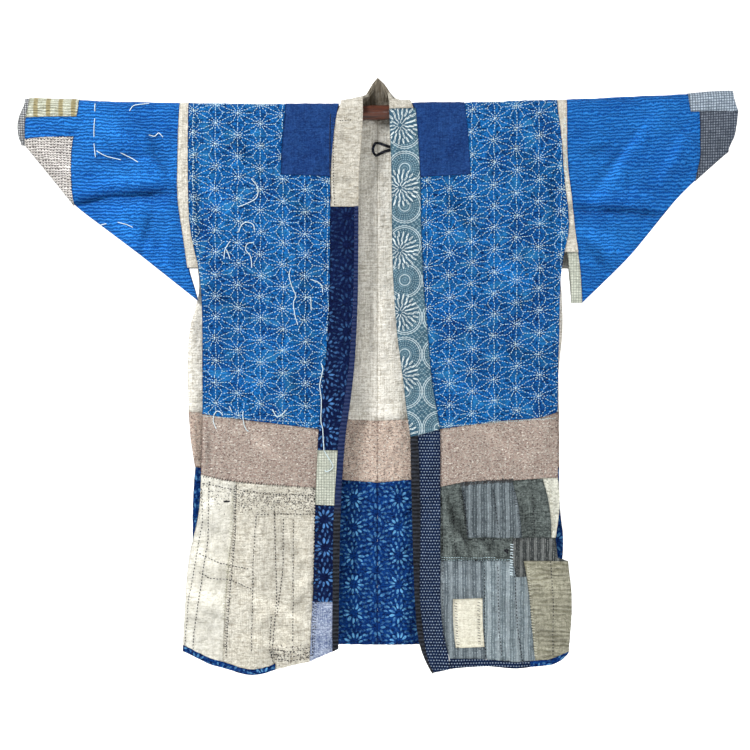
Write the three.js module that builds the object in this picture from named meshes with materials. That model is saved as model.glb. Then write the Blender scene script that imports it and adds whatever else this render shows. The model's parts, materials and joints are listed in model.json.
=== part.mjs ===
// A patched work kimono of sashiko cloth, spread along the rod that it hangs on.
// Millimetres, +Z up, +X to the viewer's right, -Y towards the viewer, origin at the rod's centre.
// Right and left are the wearer's own: the right side lies at -X.
import * as THREE from "three";

// Driving sizes
const ROD_RADIUS = 13;
const ROD_ENDS = [-584, 592];
const ROD_SLOPE = 0.00973; // the rod is a branch that bows up towards its ends
const ROD_BOW = 4.366e-5;
const CLOTH_OVER_ROD = 13.4; // radius of the cloth's inner face where it bends over the rod
const BODY_WALL = 2.2;
const SLEEVE_WALL = 2.0;
const LINING_WALL = 1.0;
const PATCH_WALL = 1.0;
const COLLAR_INNER = 0; // the collar is folded cloth, thicker than the panel it is sewn to
const COLLAR_OUTER = 4.2;
const EDGE_BINDING_OUTER = 5.2;
const SEAM_GAP = 0.3;
const FRONT_HANG = 11.5; // distance of the front's inner face from the plane of the rod, far below it
const BACK_HANG = 11.5;
const SIDE_HANG = 8; // the same at the side edges, where front and back come together

// Layers of cloth: distances of a layer's two faces from the inner face of the body or the sleeve
const BODY_LAYER = [0, BODY_WALL];
const SLEEVE_LAYER = [0, SLEEVE_WALL];
const LINING_LAYER = [-SEAM_GAP - LINING_WALL, -SEAM_GAP];
const COLLAR_LAYER = [COLLAR_INNER, COLLAR_OUTER];
const BINDING_LAYER = [COLLAR_INNER, EDGE_BINDING_OUTER];
const patchOn = (outer) => [outer + SEAM_GAP, outer + SEAM_GAP + PATCH_WALL];

// Reading of short tables with named columns
const table = (names, ...lines) =>
  lines.map((line) => Object.fromEntries(names.split(" ").map((name, i) => [name, line[i]])));

// Value of a table's column, at a given value of its first column, in straight lines between rows
function read(rows, key, value, column) {
  if (value <= rows[0][key]) return rows[0][column];
  for (let i = 1; i < rows.length; i++) {
    const [a, b] = [rows[i - 1], rows[i]];
    if (value <= b[key]) return a[column] + ((b[column] - a[column]) * (value - a[key])) / (b[key] - a[key]);
  }
  return rows[rows.length - 1][column];
}

const mix = (a, b, t) => a + (b - a) * t;
const clamp = (t) => Math.min(1, Math.max(0, t));
const smooth = (t) => clamp(t) ** 2 * (3 - 2 * clamp(t));
const rodHeight = (x) => ROD_SLOPE * x + ROD_BOW * x * x;

// Colours
const BLUE = 0x2a66ad;
const SLEEVE_BLUE = 0x2474c8;
const NAVY = 0x1f3d82;
const INDIGO = 0x141c4a;
const LINEN = 0xbfb6a2;
const BEIGE = 0xd6cebd;
const MAUVE = 0x9c8179;
const STENCIL = 0x16366f;
const CREAM = 0xddd6c1;
const GREY_CREAM = 0xcfc8b4;
const STRIPE = 0x7d8a93;
const GREY_GREEN = 0x5d645d;
const CHARCOAL = 0x46484a;
const TAUPE = 0x8c8468;
const PALE_CREAM = 0xefe8cf;
const CHAMBRAY = 0x8d9ab8;
const CHECK = 0xc3c6ae;
const PRINT = 0x5b7f8f;
const DOTTED = 0x1c2a55;
const BLACK = 0x1d1f22;
const TAPE = 0xbdb6a5;
const YELLOW_CHECK = 0xc9c39a;
const SPECKLED = 0xd8d2c8;
const GREY_CHECK = 0x9aa1a3;
const DARK_CHECK = 0x565a60;
const ROD_WOOD = 0x8a4a2e;

const kimono = new THREE.Group();

// Edges of the hanging panels: x at a height z
const RIGHT_SIDE = table(
  "z x",
  [-949, -325], [-886, -323], [-810, -319], [-752, -314], [-717, -307], [-668, -294],
  [-483, -290.6], [-315, -290.6], [-256, -297], [-206, -311.6], [-164, -314], [-63, -315], [0, -314],
);
const RIGHT_SEAM = table(
  "z x",
  [-921, -111], [-770, -104], [-634, -100.8], [-533, -96.4], [-466, -89], [-399, -82],
  [-298, -77.3], [-88, -75.6], [-21, -68.9], [0, -65.5], [16, -62.2],
);
const RIGHT_FREE = table(
  "z x",
  [-899, -63], [-819, -62], [-684, -60], [-601, -56.3], [-534, -50.4], [-483, -42],
  [-416, -35], [-315, -30.2], [-97, -29], [-54, -25.2], [-21, -21.8], [0, -21.8],
);
const RIGHT_BINDING = table(
  "z x",
  [-899, -73], [-819, -72.5], [-684, -71.5], [-601, -67], [-534, -61.5], [-483, -52.5],
  [-416, -44], [-315, -37.5], [-197, -36], [-97, -35.5], [0, -28.5],
);
const LEFT_SIDE = table(
  "z x",
  [-906, 322.6], [-819, 329.3], [-777, 324.2], [-752, 321], [-746, 303.5], [-722, 302], [-706, 299],
  [-680, 306.6], [-650, 309], [-620, 304.5], [-503, 304], [-298, 307.4], [-248, 310.8],
  [-205, 324.2], [-172, 322.6], [-113, 314.2], [-38, 309.1], [0, 303.5],
);
const LEFT_SEAM = table(
  "z x",
  [-911, 122.6], [-878, 110.9], [-820, 107.5], [-668, 107.5], [-534, 107.5], [-517, 104.2],
  [-449, 92.4], [-382, 87.4], [-315, 80.6], [-214, 75.6], [-113, 73.9], [-21, 68.9], [0, 66],
  [16, 59],
);
const LEFT_FREE = table(
  "z x",
  [-936, 94.1], [-911, 72.2], [-836, 65.5], [-752, 62.2], [-617, 58.8], [-534, 57.1],
  [-488, 48.7], [-432, 43.7], [-382, 35.3], [-315, 30.2], [-248, 27], [-71, 25.2], [-21, 22], [0, 22],
);
const LEFT_BINDING = table(
  "z x",
  [-936, 97.4], [-919, 84], [-878, 79], [-819, 72.2], [-684, 73.9], [-584, 72.2], [-533, 69],
  [-488, 57.1], [-432, 51], [-382, 42.7], [-315, 37.2], [-248, 34], [-71, 32.2], [0, 29],
);
const BACK_RIGHT_SIDE = table(
  "z x",
  [-895, -312], [-743, -307.5], [-684, -309], [-617, -307.5], [-595, -304], [-567, -311.6],
  [-483, -316.6], [-365, -317.5], [-331, -305.8], [-315, -294], [-240, -302.4], [-200, -311.6], [-63, -315],
  [0, -314],
);
const BACK_LEFT_SIDE = table(
  "z x",
  [-895, 312], [-757, 311], [-741, 317], [-701, 318.5], [-676, 308.5], [-411, 307.5], [-374, 315.8],
  [-323, 314.2], [-250, 309], [-205, 320], [-113, 314.2], [0, 303.5],
);
const RIGHT_ARMHOLE = table(
  "z x",
  [-313, -299], [-261, -315.8], [-231, -320], [-167, -329.3], [-147, -333.5], [-29, -331],
  [0, -329], [16, -327.6],
);
const LEFT_ARMHOLE = table(
  "z x",
  [-315, 346.1], [-248, 341], [-214, 334.3], [-147, 327.6], [-88, 319.2], [0, 319.2],
  [16, 320.9],
);

// Rows of the right half: a level's height at shares of the way from the side edge to the collar
// seam, its height on the collar's free edge, and the number of rows down to it
const RIGHT_LEVELS = [
  { name: "rod", line: table("u z", [0, 0], [1, 0]), free: 0, rows: 0 },
  { name: "shoulder_patch", line: table("u z", [0, -98], [1, -108]), free: -108, rows: 3 },
  { name: "neck_collar", line: table("u z", [0, -158], [1, -159]), free: -159, rows: 2 },
  { name: "armhole", line: table("u z", [0, -261], [1, -262]), free: -262, rows: 3 },
  {
    name: "blue",
    line: table("u z", [0, -506], [0.2, -512], [0.5, -519], [1, -531]),
    free: -534,
    rows: 7,
  },
  { name: "check_patch", line: table("u z", [0, -556], [1, -566]), free: -567, rows: 1 },
  {
    name: "mauve",
    line: table("u z", [0, -607], [0.2, -617], [0.5, -623], [1, -629]),
    free: -634,
    rows: 1,
  },
  { name: "check_patch_end", line: table("u z", [0, -640], [1, -657]), free: -659, rows: 1 },
  { name: "indigo", line: table("u z", [0, -790], [1, -820]), free: -820, rows: 4 },
  {
    name: "hem_fold",
    line: table(
      "u z",
      [0, -893], [0.13, -904], [0.2, -915], [0.41, -927], [0.58, -935], [0.7, -926], [0.85, -919],
      [1, -912],
    ),
    free: -892,
    rows: 3,
  },
  {
    name: "hem",
    line: table(
      "u z",
      [0, -903], [0.13, -914], [0.2, -925], [0.41, -937], [0.58, -945], [0.7, -936], [0.85, -927],
      [1, -920],
    ),
    free: -899,
    rows: 1,
  },
];
const LEFT_LEVELS = [
  { name: "rod", line: table("u z", [0, 0], [1, 0]), free: 0, rows: 0 },
  { name: "shoulder_patch", line: table("u z", [0, -99], [1, -110]), free: -110, rows: 3 },
  { name: "armhole", line: table("u z", [0, -235], [1, -238]), free: -238, rows: 4 },
  {
    name: "blue",
    line: table("u z", [0, -503], [0.15, -513], [0.5, -518], [1, -531]),
    free: -544,
    rows: 7,
  },
  {
    name: "mauve",
    line: table("u z", [0, -612], [0.35, -617], [0.8, -619], [1, -628]),
    free: -629,
    rows: 2,
  },
  { name: "row_1", line: table("u z", [0, -651], [1, -651]), free: -651, rows: 1 },
  { name: "row_2", line: table("u z", [0, -684], [1, -684]), free: -684, rows: 1 },
  { name: "row_3", line: table("u z", [0, -713], [1, -713]), free: -713, rows: 1 },
  { name: "side_notch", line: table("u z", [0, -746], [0.3, -742], [1, -735]), free: -735, rows: 1 },
  { name: "row_4", line: table("u z", [0, -752], [1, -751]), free: -751, rows: 1 },
  { name: "row_5", line: table("u z", [0, -778], [1, -778]), free: -778, rows: 1 },
  { name: "row_6", line: table("u z", [0, -815], [1, -815]), free: -813, rows: 1 },
  { name: "row_7", line: table("u z", [0, -855], [1, -856]), free: -850, rows: 1 },
  { name: "row_8", line: table("u z", [0, -888], [0.6, -896], [1, -896]), free: -890, rows: 1 },
  {
    name: "hem_fold",
    line: table("u z", [0, -903], [0.15, -918], [0.45, -921], [0.8, -915], [1, -914]),
    free: -926,
    rows: 1,
  },
  {
    name: "hem",
    line: table("u z", [0, -907], [0.1, -926], [0.45, -932], [0.8, -926], [1, -932]),
    free: -940,
    rows: 1,
  },
];

// Rows of the back, the same on both halves: heights at the side edge and at the centre seam
const BACK_LEVELS = [
  { name: "rod", line: table("u z", [0, 0], [1, 0]), rows: 0 },
  { name: "lining", line: table("u z", [0, -24], [1, -24]), rows: 1 },
  { name: "shoulder_patch", line: table("u z", [0, -98], [1, -98]), rows: 2 },
  { name: "armhole", line: table("u z", [0, -261], [1, -261]), rows: 3 },
  { name: "linen", line: table("u z", [0, -503], [1, -518]), rows: 6 },
  { name: "mauve", line: table("u z", [0, -596], [1, -622]), rows: 2 },
  { name: "hem", line: table("u z", [0, -893], [1, -895]), rows: 7 },
];

// Columns of a front half: name and share of the way from the side edge to the collar seam, at the
// rod and at the four heights below
const SHARE_HEIGHTS = table("name z", ["hem", -918], ["row_4", -751], ["row_3", -713], ["skirt", -617]);
const RIGHT_COLUMNS = table(
  "name rod skirt row_3 row_4 hem",
  ["side", 0, 0, 0, 0, 0],
  ["fold_1", 0.1, 0.1, 0.1, 0.1, 0.1],
  ["fold_2", 0.2, 0.21, 0.21, 0.21, 0.21],
  ["cream_joint", 0.32, 0.305, 0.312, 0.315, 0.315],
  ["fold_3", 0.43, 0.42, 0.42, 0.42, 0.42],
  ["fold_4", 0.54, 0.54, 0.53, 0.53, 0.53],
  ["shoulder_patch", 0.65, 0.64, 0.63, 0.63, 0.63],
  ["hem_end", 0.77, 0.76, 0.74, 0.73, 0.73],
  ["fold_5", 0.89, 0.88, 0.87, 0.87, 0.87],
  ["seam", 1, 1, 1, 1, 1],
);
const LEFT_COLUMNS = table(
  "name rod skirt row_3 row_4 hem",
  ["side", 0, 0, 0, 0, 0],
  ["line_5", 0.1, 0.13, 0.035, 0.09, 0.09],
  ["fold_1", 0.2, 0.2, 0.13, 0.2, 0.18],
  ["line_4", 0.32, 0.3, 0.22, 0.345, 0.279],
  ["patch_side", 0.38, 0.393, 0.294, 0.39, 0.302],
  ["line_3", 0.45, 0.47, 0.37, 0.432, 0.325],
  ["fold_2", 0.55, 0.54, 0.47, 0.52, 0.45],
  ["shoulder_patch", 0.65, 0.61, 0.57, 0.6, 0.57],
  ["line_2", 0.77, 0.7, 0.66, 0.671, 0.691],
  ["line_1", 0.89, 0.83, 0.763, 0.89, 0.929],
  ["seam", 1, 1, 1, 1, 1],
);

// Large folds: a line from a to b, with its half width and its height towards the viewer
const FRONT_FOLDS = table(
  "ax az bx bz width height",
  [-277, -600, -300, -920, 17, 7],
  [-236, -600, -252, -930, 17, -6],
  [-196, -640, -204, -940, 19, 6],
  [-156, -620, -166, -930, 17, -5],
  [-120, -560, -126, -900, 20, 4],
  [-235, -150, -286, -330, 26, 5],
  [-180, -210, -240, -480, 24, -4],
  [-130, -180, -150, -560, 26, 4],
  [-255, -330, -262, -560, 20, 4],
  [136, -200, 150, -600, 26, 4],
  [205, -170, 262, -330, 26, 5],
  [246, -320, 232, -600, 24, -5],
  [290, -330, 276, -560, 20, 5],
  [142, -640, 128, -930, 19, 5],
  [176, -640, 178, -930, 17, -6],
  [230, -610, 226, -930, 22, 6],
  [268, -640, 262, -920, 16, -6],
  [300, -700, 312, -900, 16, 6],
);
const BACK_FOLDS = table(
  "ax az bx bz width height",
  [-250, -200, -262, -860, 30, 5],
  [-190, -260, -170, -860, 28, -4],
  [-110, -240, -120, -860, 30, 4],
  [-45, -420, -40, -880, 20, -2.5],
  [60, -400, 50, -880, 24, -2.5],
  [120, -240, 132, -860, 30, 4],
  [190, -260, 204, -860, 28, -4],
  [256, -200, 262, -860, 30, 5],
);
const SLEEVE_FOLDS = table(
  "ax az bx bz width height",
  [-500, -152, -335, -132, 16, -5],
  [-490, -120, -350, -104, 22, 4],
  [-430, -190, -345, -250, 20, 4],
  [-520, -70, -440, -40, 24, 3],
  [468, 4, 376, -150, 20, 5],
  [440, -10, 350, -140, 20, -4],
  [336, -160, 485, -168, 15, -5],
  [350, -205, 420, -240, 20, 4],
  [520, -60, 470, -120, 20, 3],
);

// Height of all folds at a point of the hanging cloth; each fades in over its first stretch
const FOLD_FADE = 0.25;
function foldHeight(folds, x, z) {
  let total = 0;
  for (const f of folds) {
    const [dx, dz] = [f.bx - f.ax, f.bz - f.az];
    const length = dx * dx + dz * dz;
    const t = ((x - f.ax) * dx + (z - f.az) * dz) / length;
    const off = Math.hypot(x - f.ax - dx * clamp(t), z - f.az - dz * clamp(t)) / f.width;
    const fade = smooth((clamp(t) + 0.1) / FOLD_FADE);
    total += f.height * fade * Math.exp(-off * off);
  }
  return total;
}

// Distance of the front's or back's inner face from the plane of the rod: the rod's radius near it,
// less below, and least at the side edges of the open skirt
const SETTLE_DEPTH = 260;
const SKIRT_TOP = -300;
const SIDE_WIDTH = 90;
const HALF_WIDTH = 310;
const SKIRT_FADE = 200;
const FOLD_START = 90; // below the rod, the folds reach their full height over this stretch
function hang(x, z, low, folds) {
  const down = smooth(-z / SETTLE_DEPTH);
  const inside = smooth((HALF_WIDTH - Math.abs(x)) / SIDE_WIDTH);
  const skirt = smooth((SKIRT_TOP - z) / SKIRT_FADE);
  const settled = mix(low, mix(SIDE_HANG, low, inside), skirt);
  return mix(CLOTH_OVER_ROD, settled, down) + smooth(-z / FOLD_START) * foldHeight(folds, x, z);
}
const frontHang = (x, z) => hang(x, z, FRONT_HANG, FRONT_FOLDS);
const backHang = (x, z) => hang(x, z, BACK_HANG, BACK_FOLDS);

// A grid of points: place(i, j, out) gives the point of column i and row j, moved out by a distance.
// A solid covers some of its cells in one layer, and is drawn in by half the seam gap along its edges.
function panel(name, colour, place, cells, [inner, outer]) {
  const has = new Set(cells.map(([i, j]) => i + "," + j));
  const present = (i, j) => (has.has(i + "," + j) ? 1 : 0);
  const index = new Map();
  const position = [];
  const vertex = (i, j, side) => {
    const key = i + "," + j + "," + side;
    if (!index.has(key)) {
      const out = side ? outer : inner;
      const quarters = [present(i - 1, j - 1), present(i, j - 1), present(i - 1, j), present(i, j)];
      const alongI = Math.sign(quarters[1] + quarters[3] - quarters[0] - quarters[2]);
      const alongJ = Math.sign(quarters[2] + quarters[3] - quarters[0] - quarters[1]);
      const p = place(i, j, out);
      const drawn = p.clone();
      for (const [di, dj] of [[alongI, 0], [0, alongJ]])
        if (di || dj)
          drawn.addScaledVector(place(i + di, j + dj, out).sub(p).normalize(), SEAM_GAP / 2);
      index.set(key, position.length / 3);
      position.push(drawn.x, drawn.y, drawn.z);
    }
    return index.get(key);
  };
  const faces = [];
  const quad = (a, b, c, d) => faces.push(a, b, c, a, c, d);
  for (const [i, j] of cells) {
    quad(vertex(i, j, 1), vertex(i + 1, j, 1), vertex(i + 1, j + 1, 1), vertex(i, j + 1, 1));
    quad(vertex(i, j, 0), vertex(i, j + 1, 0), vertex(i + 1, j + 1, 0), vertex(i + 1, j, 0));
    const edge = (ai, aj, bi, bj) =>
      quad(vertex(ai, aj, 0), vertex(bi, bj, 0), vertex(bi, bj, 1), vertex(ai, aj, 1));
    if (!present(i, j - 1)) edge(i, j, i + 1, j);
    if (!present(i + 1, j)) edge(i + 1, j, i + 1, j + 1);
    if (!present(i, j + 1)) edge(i + 1, j + 1, i, j + 1);
    if (!present(i - 1, j)) edge(i, j + 1, i, j);
  }
  addMesh(name, colour, position, faces);
}

// A closed mesh, turned to face outwards by the sign of its volume
function addMesh(name, colour, position, faces) {
  const at = (k) => new THREE.Vector3(...position.slice(3 * k, 3 * k + 3));
  let volume = 0;
  for (let k = 0; k < faces.length; k += 3)
    volume += at(faces[k]).dot(at(faces[k + 1]).cross(at(faces[k + 2])));
  for (let k = 0; k < faces.length && volume < 0; k += 3)
    [faces[k], faces[k + 1]] = [faces[k + 1], faces[k]];
  const geometry = new THREE.BufferGeometry();
  geometry.setAttribute("position", new THREE.Float32BufferAttribute(position, 3));
  geometry.setIndex(faces);
  geometry.computeVertexNormals();
  const material = new THREE.MeshStandardMaterial({ color: colour, roughness: 0.95, metalness: 0 });
  const mesh = new THREE.Mesh(geometry, material);
  mesh.name = name;
  kimono.add(mesh);
}

const range = (from, to) => Array.from({ length: Math.max(0, to - from) }, (_, k) => from + k);
const cellsOf = (columns, rows) => columns.flatMap((i) => rows.map((j) => [i, j]));

// Heights of all rows for a list of levels, as functions of the share u from side to seam
function rowsOf(levels) {
  const rows = [];
  const named = {};
  levels.forEach((level, k) => {
    const above = levels[k - 1];
    for (let n = 1; n <= level.rows; n++) {
      const t = n / level.rows;
      rows.push({
        z: (u) => mix(read(above.line, "u", u, "z"), read(level.line, "u", u, "z"), t),
        free: mix(above.free ?? 0, level.free ?? 0, t),
      });
    }
    if (!level.rows) rows.push({ z: (u) => read(level.line, "u", u, "z"), free: level.free ?? 0 });
    named[level.name] = rows.length - 1;
  });
  return { rows, named };
}

// One half of the body. Its grid runs down the front, with the arc over the rod and the back above
// row 0: row -ARC is where the back leaves the rod, and rows further up run down the back.
const ARC = 6;
const backRows = rowsOf(BACK_LEVELS);
const BACK_END = backRows.rows.length - 1;
const NECK_CORNER = 16; // height of the collar seam's end, on top of the cloth over the rod
const NECK_COLUMNS = 3; // columns of the back between the neck's corner and the centre seam
const BEYOND_ARMHOLE = 5; // how far the grid goes on past the armhole's outer edge

function bodyHalf({ levels, columns, side, seam, binding, free, backSide, armhole, centre, sign }) {
  const front = rowsOf(levels);
  const last = front.rows.length - 1;
  const blueRow = front.named.blue;
  const names = {};
  columns.forEach((column, k) => (names[column.name] = k));
  const seamColumn = columns.length - 1;
  names.armhole = -1;
  names.collar = seamColumn + 1;
  names.binding = seamColumn + 2;
  names.free = seamColumn + 3;

  // Share of the way from side to seam: the rod's, blended to the skirt's and read further down
  const share = (i, j) => {
    const column = columns[Math.max(0, Math.min(seamColumn, i))];
    const height = front.rows[Math.max(0, Math.min(last, j))].z(0.5);
    const below = SHARE_HEIGHTS.map(({ name, z }) => ({ z, share: column[name] }));
    if (height < read(below, "z", 0, "z")) return read(below, "z", height, "share");
    return mix(column.rod, column.skirt, smooth((j - 2) / (blueRow - 2)));
  };
  const armholeX = (i, z) => read(armhole, "z", z, "x") + (i < -1 ? sign * BEYOND_ARMHOLE : 0);
  const frontPoint = (i, j) => {
    const row = front.rows[Math.max(0, Math.min(last, j))];
    const u = share(i, j);
    let z = row.z(u);
    let x = 0;
    if (i < 0) x = armholeX(i, z);
    else if (i <= seamColumn) x = mix(read(side, "z", z, "x"), read(seam, "z", z, "x"), u);
    else {
      const across = { [names.collar]: 0.45, [names.binding]: 0.8, [names.free]: 1 }[i] ?? 1.1;
      z = mix(z, row.free, across);
      const [a, b, c] = [seam, binding, free].map((edge) => read(edge, "z", z, "x"));
      x = { [names.collar]: mix(a, b, 0.5), [names.binding]: b, [names.free]: c }[i] ?? c + (c - b);
    }
    return new THREE.Vector2(x, z);
  };

  // The back's columns reach the centre seam below the neck; over the rod they match the front's
  const neckX = read(seam, "z", NECK_CORNER, "x");
  const neckShare = 1 - Math.abs(neckX) / HALF_WIDTH; // of the way from the side to the centre
  const backPoint = (i, k) => {
    const row = backRows.rows[Math.max(0, Math.min(BACK_END, k))];
    if (i < 0) return new THREE.Vector2(armholeX(i, row.z(0)), row.z(0));
    if (i <= seamColumn) {
      const across = columns[i].rod;
      const z = row.z(across * neckShare);
      return new THREE.Vector2(mix(read(backSide, "z", z, "x"), neckX, across), z);
    }
    const step = (i - seamColumn) / NECK_COLUMNS;
    return new THREE.Vector2(mix(neckX, centre, step), row.z(mix(neckShare, 1, step)));
  };

  const place = (i, j, out) => {
    if (j >= 0) {
      const { x, y: z } = frontPoint(i, j);
      const raised = z + rodHeight(x) * smooth(1 + z / SETTLE_DEPTH);
      return new THREE.Vector3(x, -(frontHang(x, z) + out), raised);
    }
    if (j <= -ARC) {
      const { x, y: z } = backPoint(i, -ARC - j);
      const raised = z + rodHeight(x) * smooth(1 + z / SETTLE_DEPTH);
      return new THREE.Vector3(x, backHang(x, z) + out, raised);
    }
    const turn = (Math.PI * -j) / ARC;
    const a = frontPoint(i, 0).x;
    const b = backPoint(i, 0).x;
    const top = mix(a, b, -j / ARC);
    const x = i === seamColumn ? read(seam, "z", NECK_CORNER * Math.sin(turn), "x") : top;
    const radius = CLOTH_OVER_ROD + out;
    return new THREE.Vector3(x, -radius * Math.cos(turn), rodHeight(x) + radius * Math.sin(turn));
  };
  return {
    place, names, last, seamColumn,
    rows: front.named,
    backEnd: -ARC - BACK_END,
    centreColumn: seamColumn + NECK_COLUMNS,
    frontHeights: front.rows.slice(0, front.named.armhole + 1).map((row) => row.z(0)),
    backHeights: backRows.rows.slice(0, backRows.named.armhole + 1).map((row) => row.z(0)),
  };
}

const CENTRE_SEAM = 2.5;
const right = bodyHalf({
  levels: RIGHT_LEVELS,
  columns: RIGHT_COLUMNS,
  side: RIGHT_SIDE,
  seam: RIGHT_SEAM,
  binding: RIGHT_BINDING,
  free: RIGHT_FREE,
  backSide: BACK_RIGHT_SIDE,
  armhole: RIGHT_ARMHOLE,
  centre: CENTRE_SEAM,
  sign: -1,
});
const left = bodyHalf({
  levels: LEFT_LEVELS,
  columns: LEFT_COLUMNS,
  side: LEFT_SIDE,
  seam: LEFT_SEAM,
  binding: LEFT_BINDING,
  free: LEFT_FREE,
  backSide: BACK_LEFT_SIDE,
  armhole: LEFT_ARMHOLE,
  centre: CENTRE_SEAM,
  sign: 1,
});

const backRow = (name) => -ARC - backRows.named[name];

function addBody(half, suffix) {
  const { place, names, rows, seamColumn, backEnd, centreColumn } = half;
  const across = range(0, seamColumn);
  const allBack = range(0, centreColumn);
  const add = (name, colour, cells, layer) => panel(name + suffix, colour, place, cells, layer);
  const back = (name, colour, from, to, layer) =>
    add(name, colour, cellsOf(allBack, range(backRow(to), backRow(from))), layer);
  add(
    "body_", BLUE,
    [...cellsOf(across, range(-ARC, rows.blue)), ...cellsOf(allBack, range(backRow("linen"), -ARC))],
    BODY_LAYER,
  );
  back("back_band_", MAUVE, "linen", "mauve", BODY_LAYER);
  back("back_skirt_", GREY_CREAM, "mauve", "hem", BODY_LAYER);
  back("lining_linen_", LINEN, "lining", "linen", LINING_LAYER);
  back("lining_mauve_", MAUVE, "linen", "mauve", LINING_LAYER);
  back("lining_stencil_", STENCIL, "mauve", "hem", LINING_LAYER);

  const patchRows = range(backRow("shoulder_patch"), rows.shoulder_patch);
  const patch = cellsOf(range(names.shoulder_patch, seamColumn), patchRows);
  add("shoulder_patch_", NAVY, patch, patchOn(BODY_WALL));
  add("armhole_binding_", TAPE, cellsOf([-1], range(backRow("armhole"), rows.armhole)), BODY_LAYER);
  add("front_band_", MAUVE, cellsOf(across, range(rows.blue, rows.mauve)), BODY_LAYER);
}
addBody(right, "right");
addBody(left, "left");

// A piece of a front that covers one or more blocks of cells: columns, first row and last row
const blocksOn = (half) => (name, colour, layer, ...blocks) => {
  const cells = blocks.flatMap(([columns, from, to]) => cellsOf(columns, range(from, to)));
  panel(name, colour, half.place, cells, layer);
};

// Front skirt and collar of the right half: two creams, the turned hem and the collar's lengths
{
  const { names, rows, last, seamColumn } = right;
  const piece = blocksOn(right);
  const band = range(seamColumn, names.binding);
  const edge = [names.binding];
  const light = range(0, names.cream_joint);
  const grey = range(names.cream_joint, seamColumn);
  piece("skirt_cream_light", CREAM, BODY_LAYER, [light, rows.mauve, rows.hem_fold]);
  piece(
    "skirt_cream_grey", GREY_CREAM, BODY_LAYER,
    [grey, rows.mauve, rows.hem_fold], [range(names.hem_end, seamColumn), rows.hem_fold, last],
  );
  piece("hem_stencil_right", STENCIL, BODY_LAYER, [range(0, names.hem_end), rows.hem_fold, last]);
  piece("collar_right_indigo", INDIGO, COLLAR_LAYER, [band, rows.neck_collar, rows.indigo]);
  piece("collar_right_chambray", CHAMBRAY, COLLAR_LAYER, [band, rows.indigo, last]);
  piece("collar_binding_right", BLACK, BINDING_LAYER, [edge, rows.neck_collar, last]);
  piece("collar_patch_check", CHECK, patchOn(COLLAR_OUTER), [band, rows.check_patch, rows.check_patch_end]);
}

// Front skirt and collar of the left half: the patchwork, from the band down to the hem
{
  const { names, rows, last, seamColumn } = left;
  const piece = blocksOn(left);
  const between = (a, b) => range(names[a], names[b]);
  const band = range(seamColumn, names.binding);
  const edge = [names.binding];
  piece(
    "skirt_grey_green", GREY_GREEN, BODY_LAYER,
    [between("line_5", "seam"), rows.mauve, rows.row_3],
    [between("line_3", "seam"), rows.row_3, rows.row_4],
  );
  piece("skirt_cream_side", CREAM, BODY_LAYER, [between("side", "line_5"), rows.mauve, rows.row_3]);
  piece(
    "skirt_charcoal", CHARCOAL, BODY_LAYER,
    [between("side", "line_3"), rows.row_3, rows.row_4],
    [between("line_4", "line_3"), rows.row_4, rows.row_5],
  );
  piece("skirt_stripe_front", STRIPE, BODY_LAYER, [between("line_2", "seam"), rows.row_4, rows.hem_fold]);
  piece(
    "skirt_stripe_middle", STRIPE, BODY_LAYER,
    [between("line_3", "line_2"), rows.row_4, rows.hem_fold],
    [between("line_4", "line_3"), rows.row_5, rows.hem_fold],
  );
  piece("skirt_taupe", TAUPE, BODY_LAYER, [between("side", "line_4"), rows.row_4, rows.hem_fold]);
  piece("hem_dotted_left", DOTTED, BODY_LAYER, [between("line_3", "seam"), rows.hem_fold, last]);
  piece("hem_stencil_left", STENCIL, BODY_LAYER, [between("side", "line_3"), rows.hem_fold, last]);
  const onBody = patchOn(BODY_WALL);
  piece("patch_stripe", STRIPE, onBody, [between("patch_side", "line_1"), rows.mauve, rows.row_3]);
  piece("patch_cream", PALE_CREAM, onBody, [between("line_2", "line_1"), rows.row_6, rows.row_8]);
  piece("collar_left_print", PRINT, COLLAR_LAYER, [[...band, ...edge], 0, rows.blue]);
  piece("collar_left_dotted", DOTTED, COLLAR_LAYER, [band, rows.blue, last]);
  piece("collar_binding_left", BLACK, BINDING_LAYER, [edge, rows.blue, last]);
}

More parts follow.
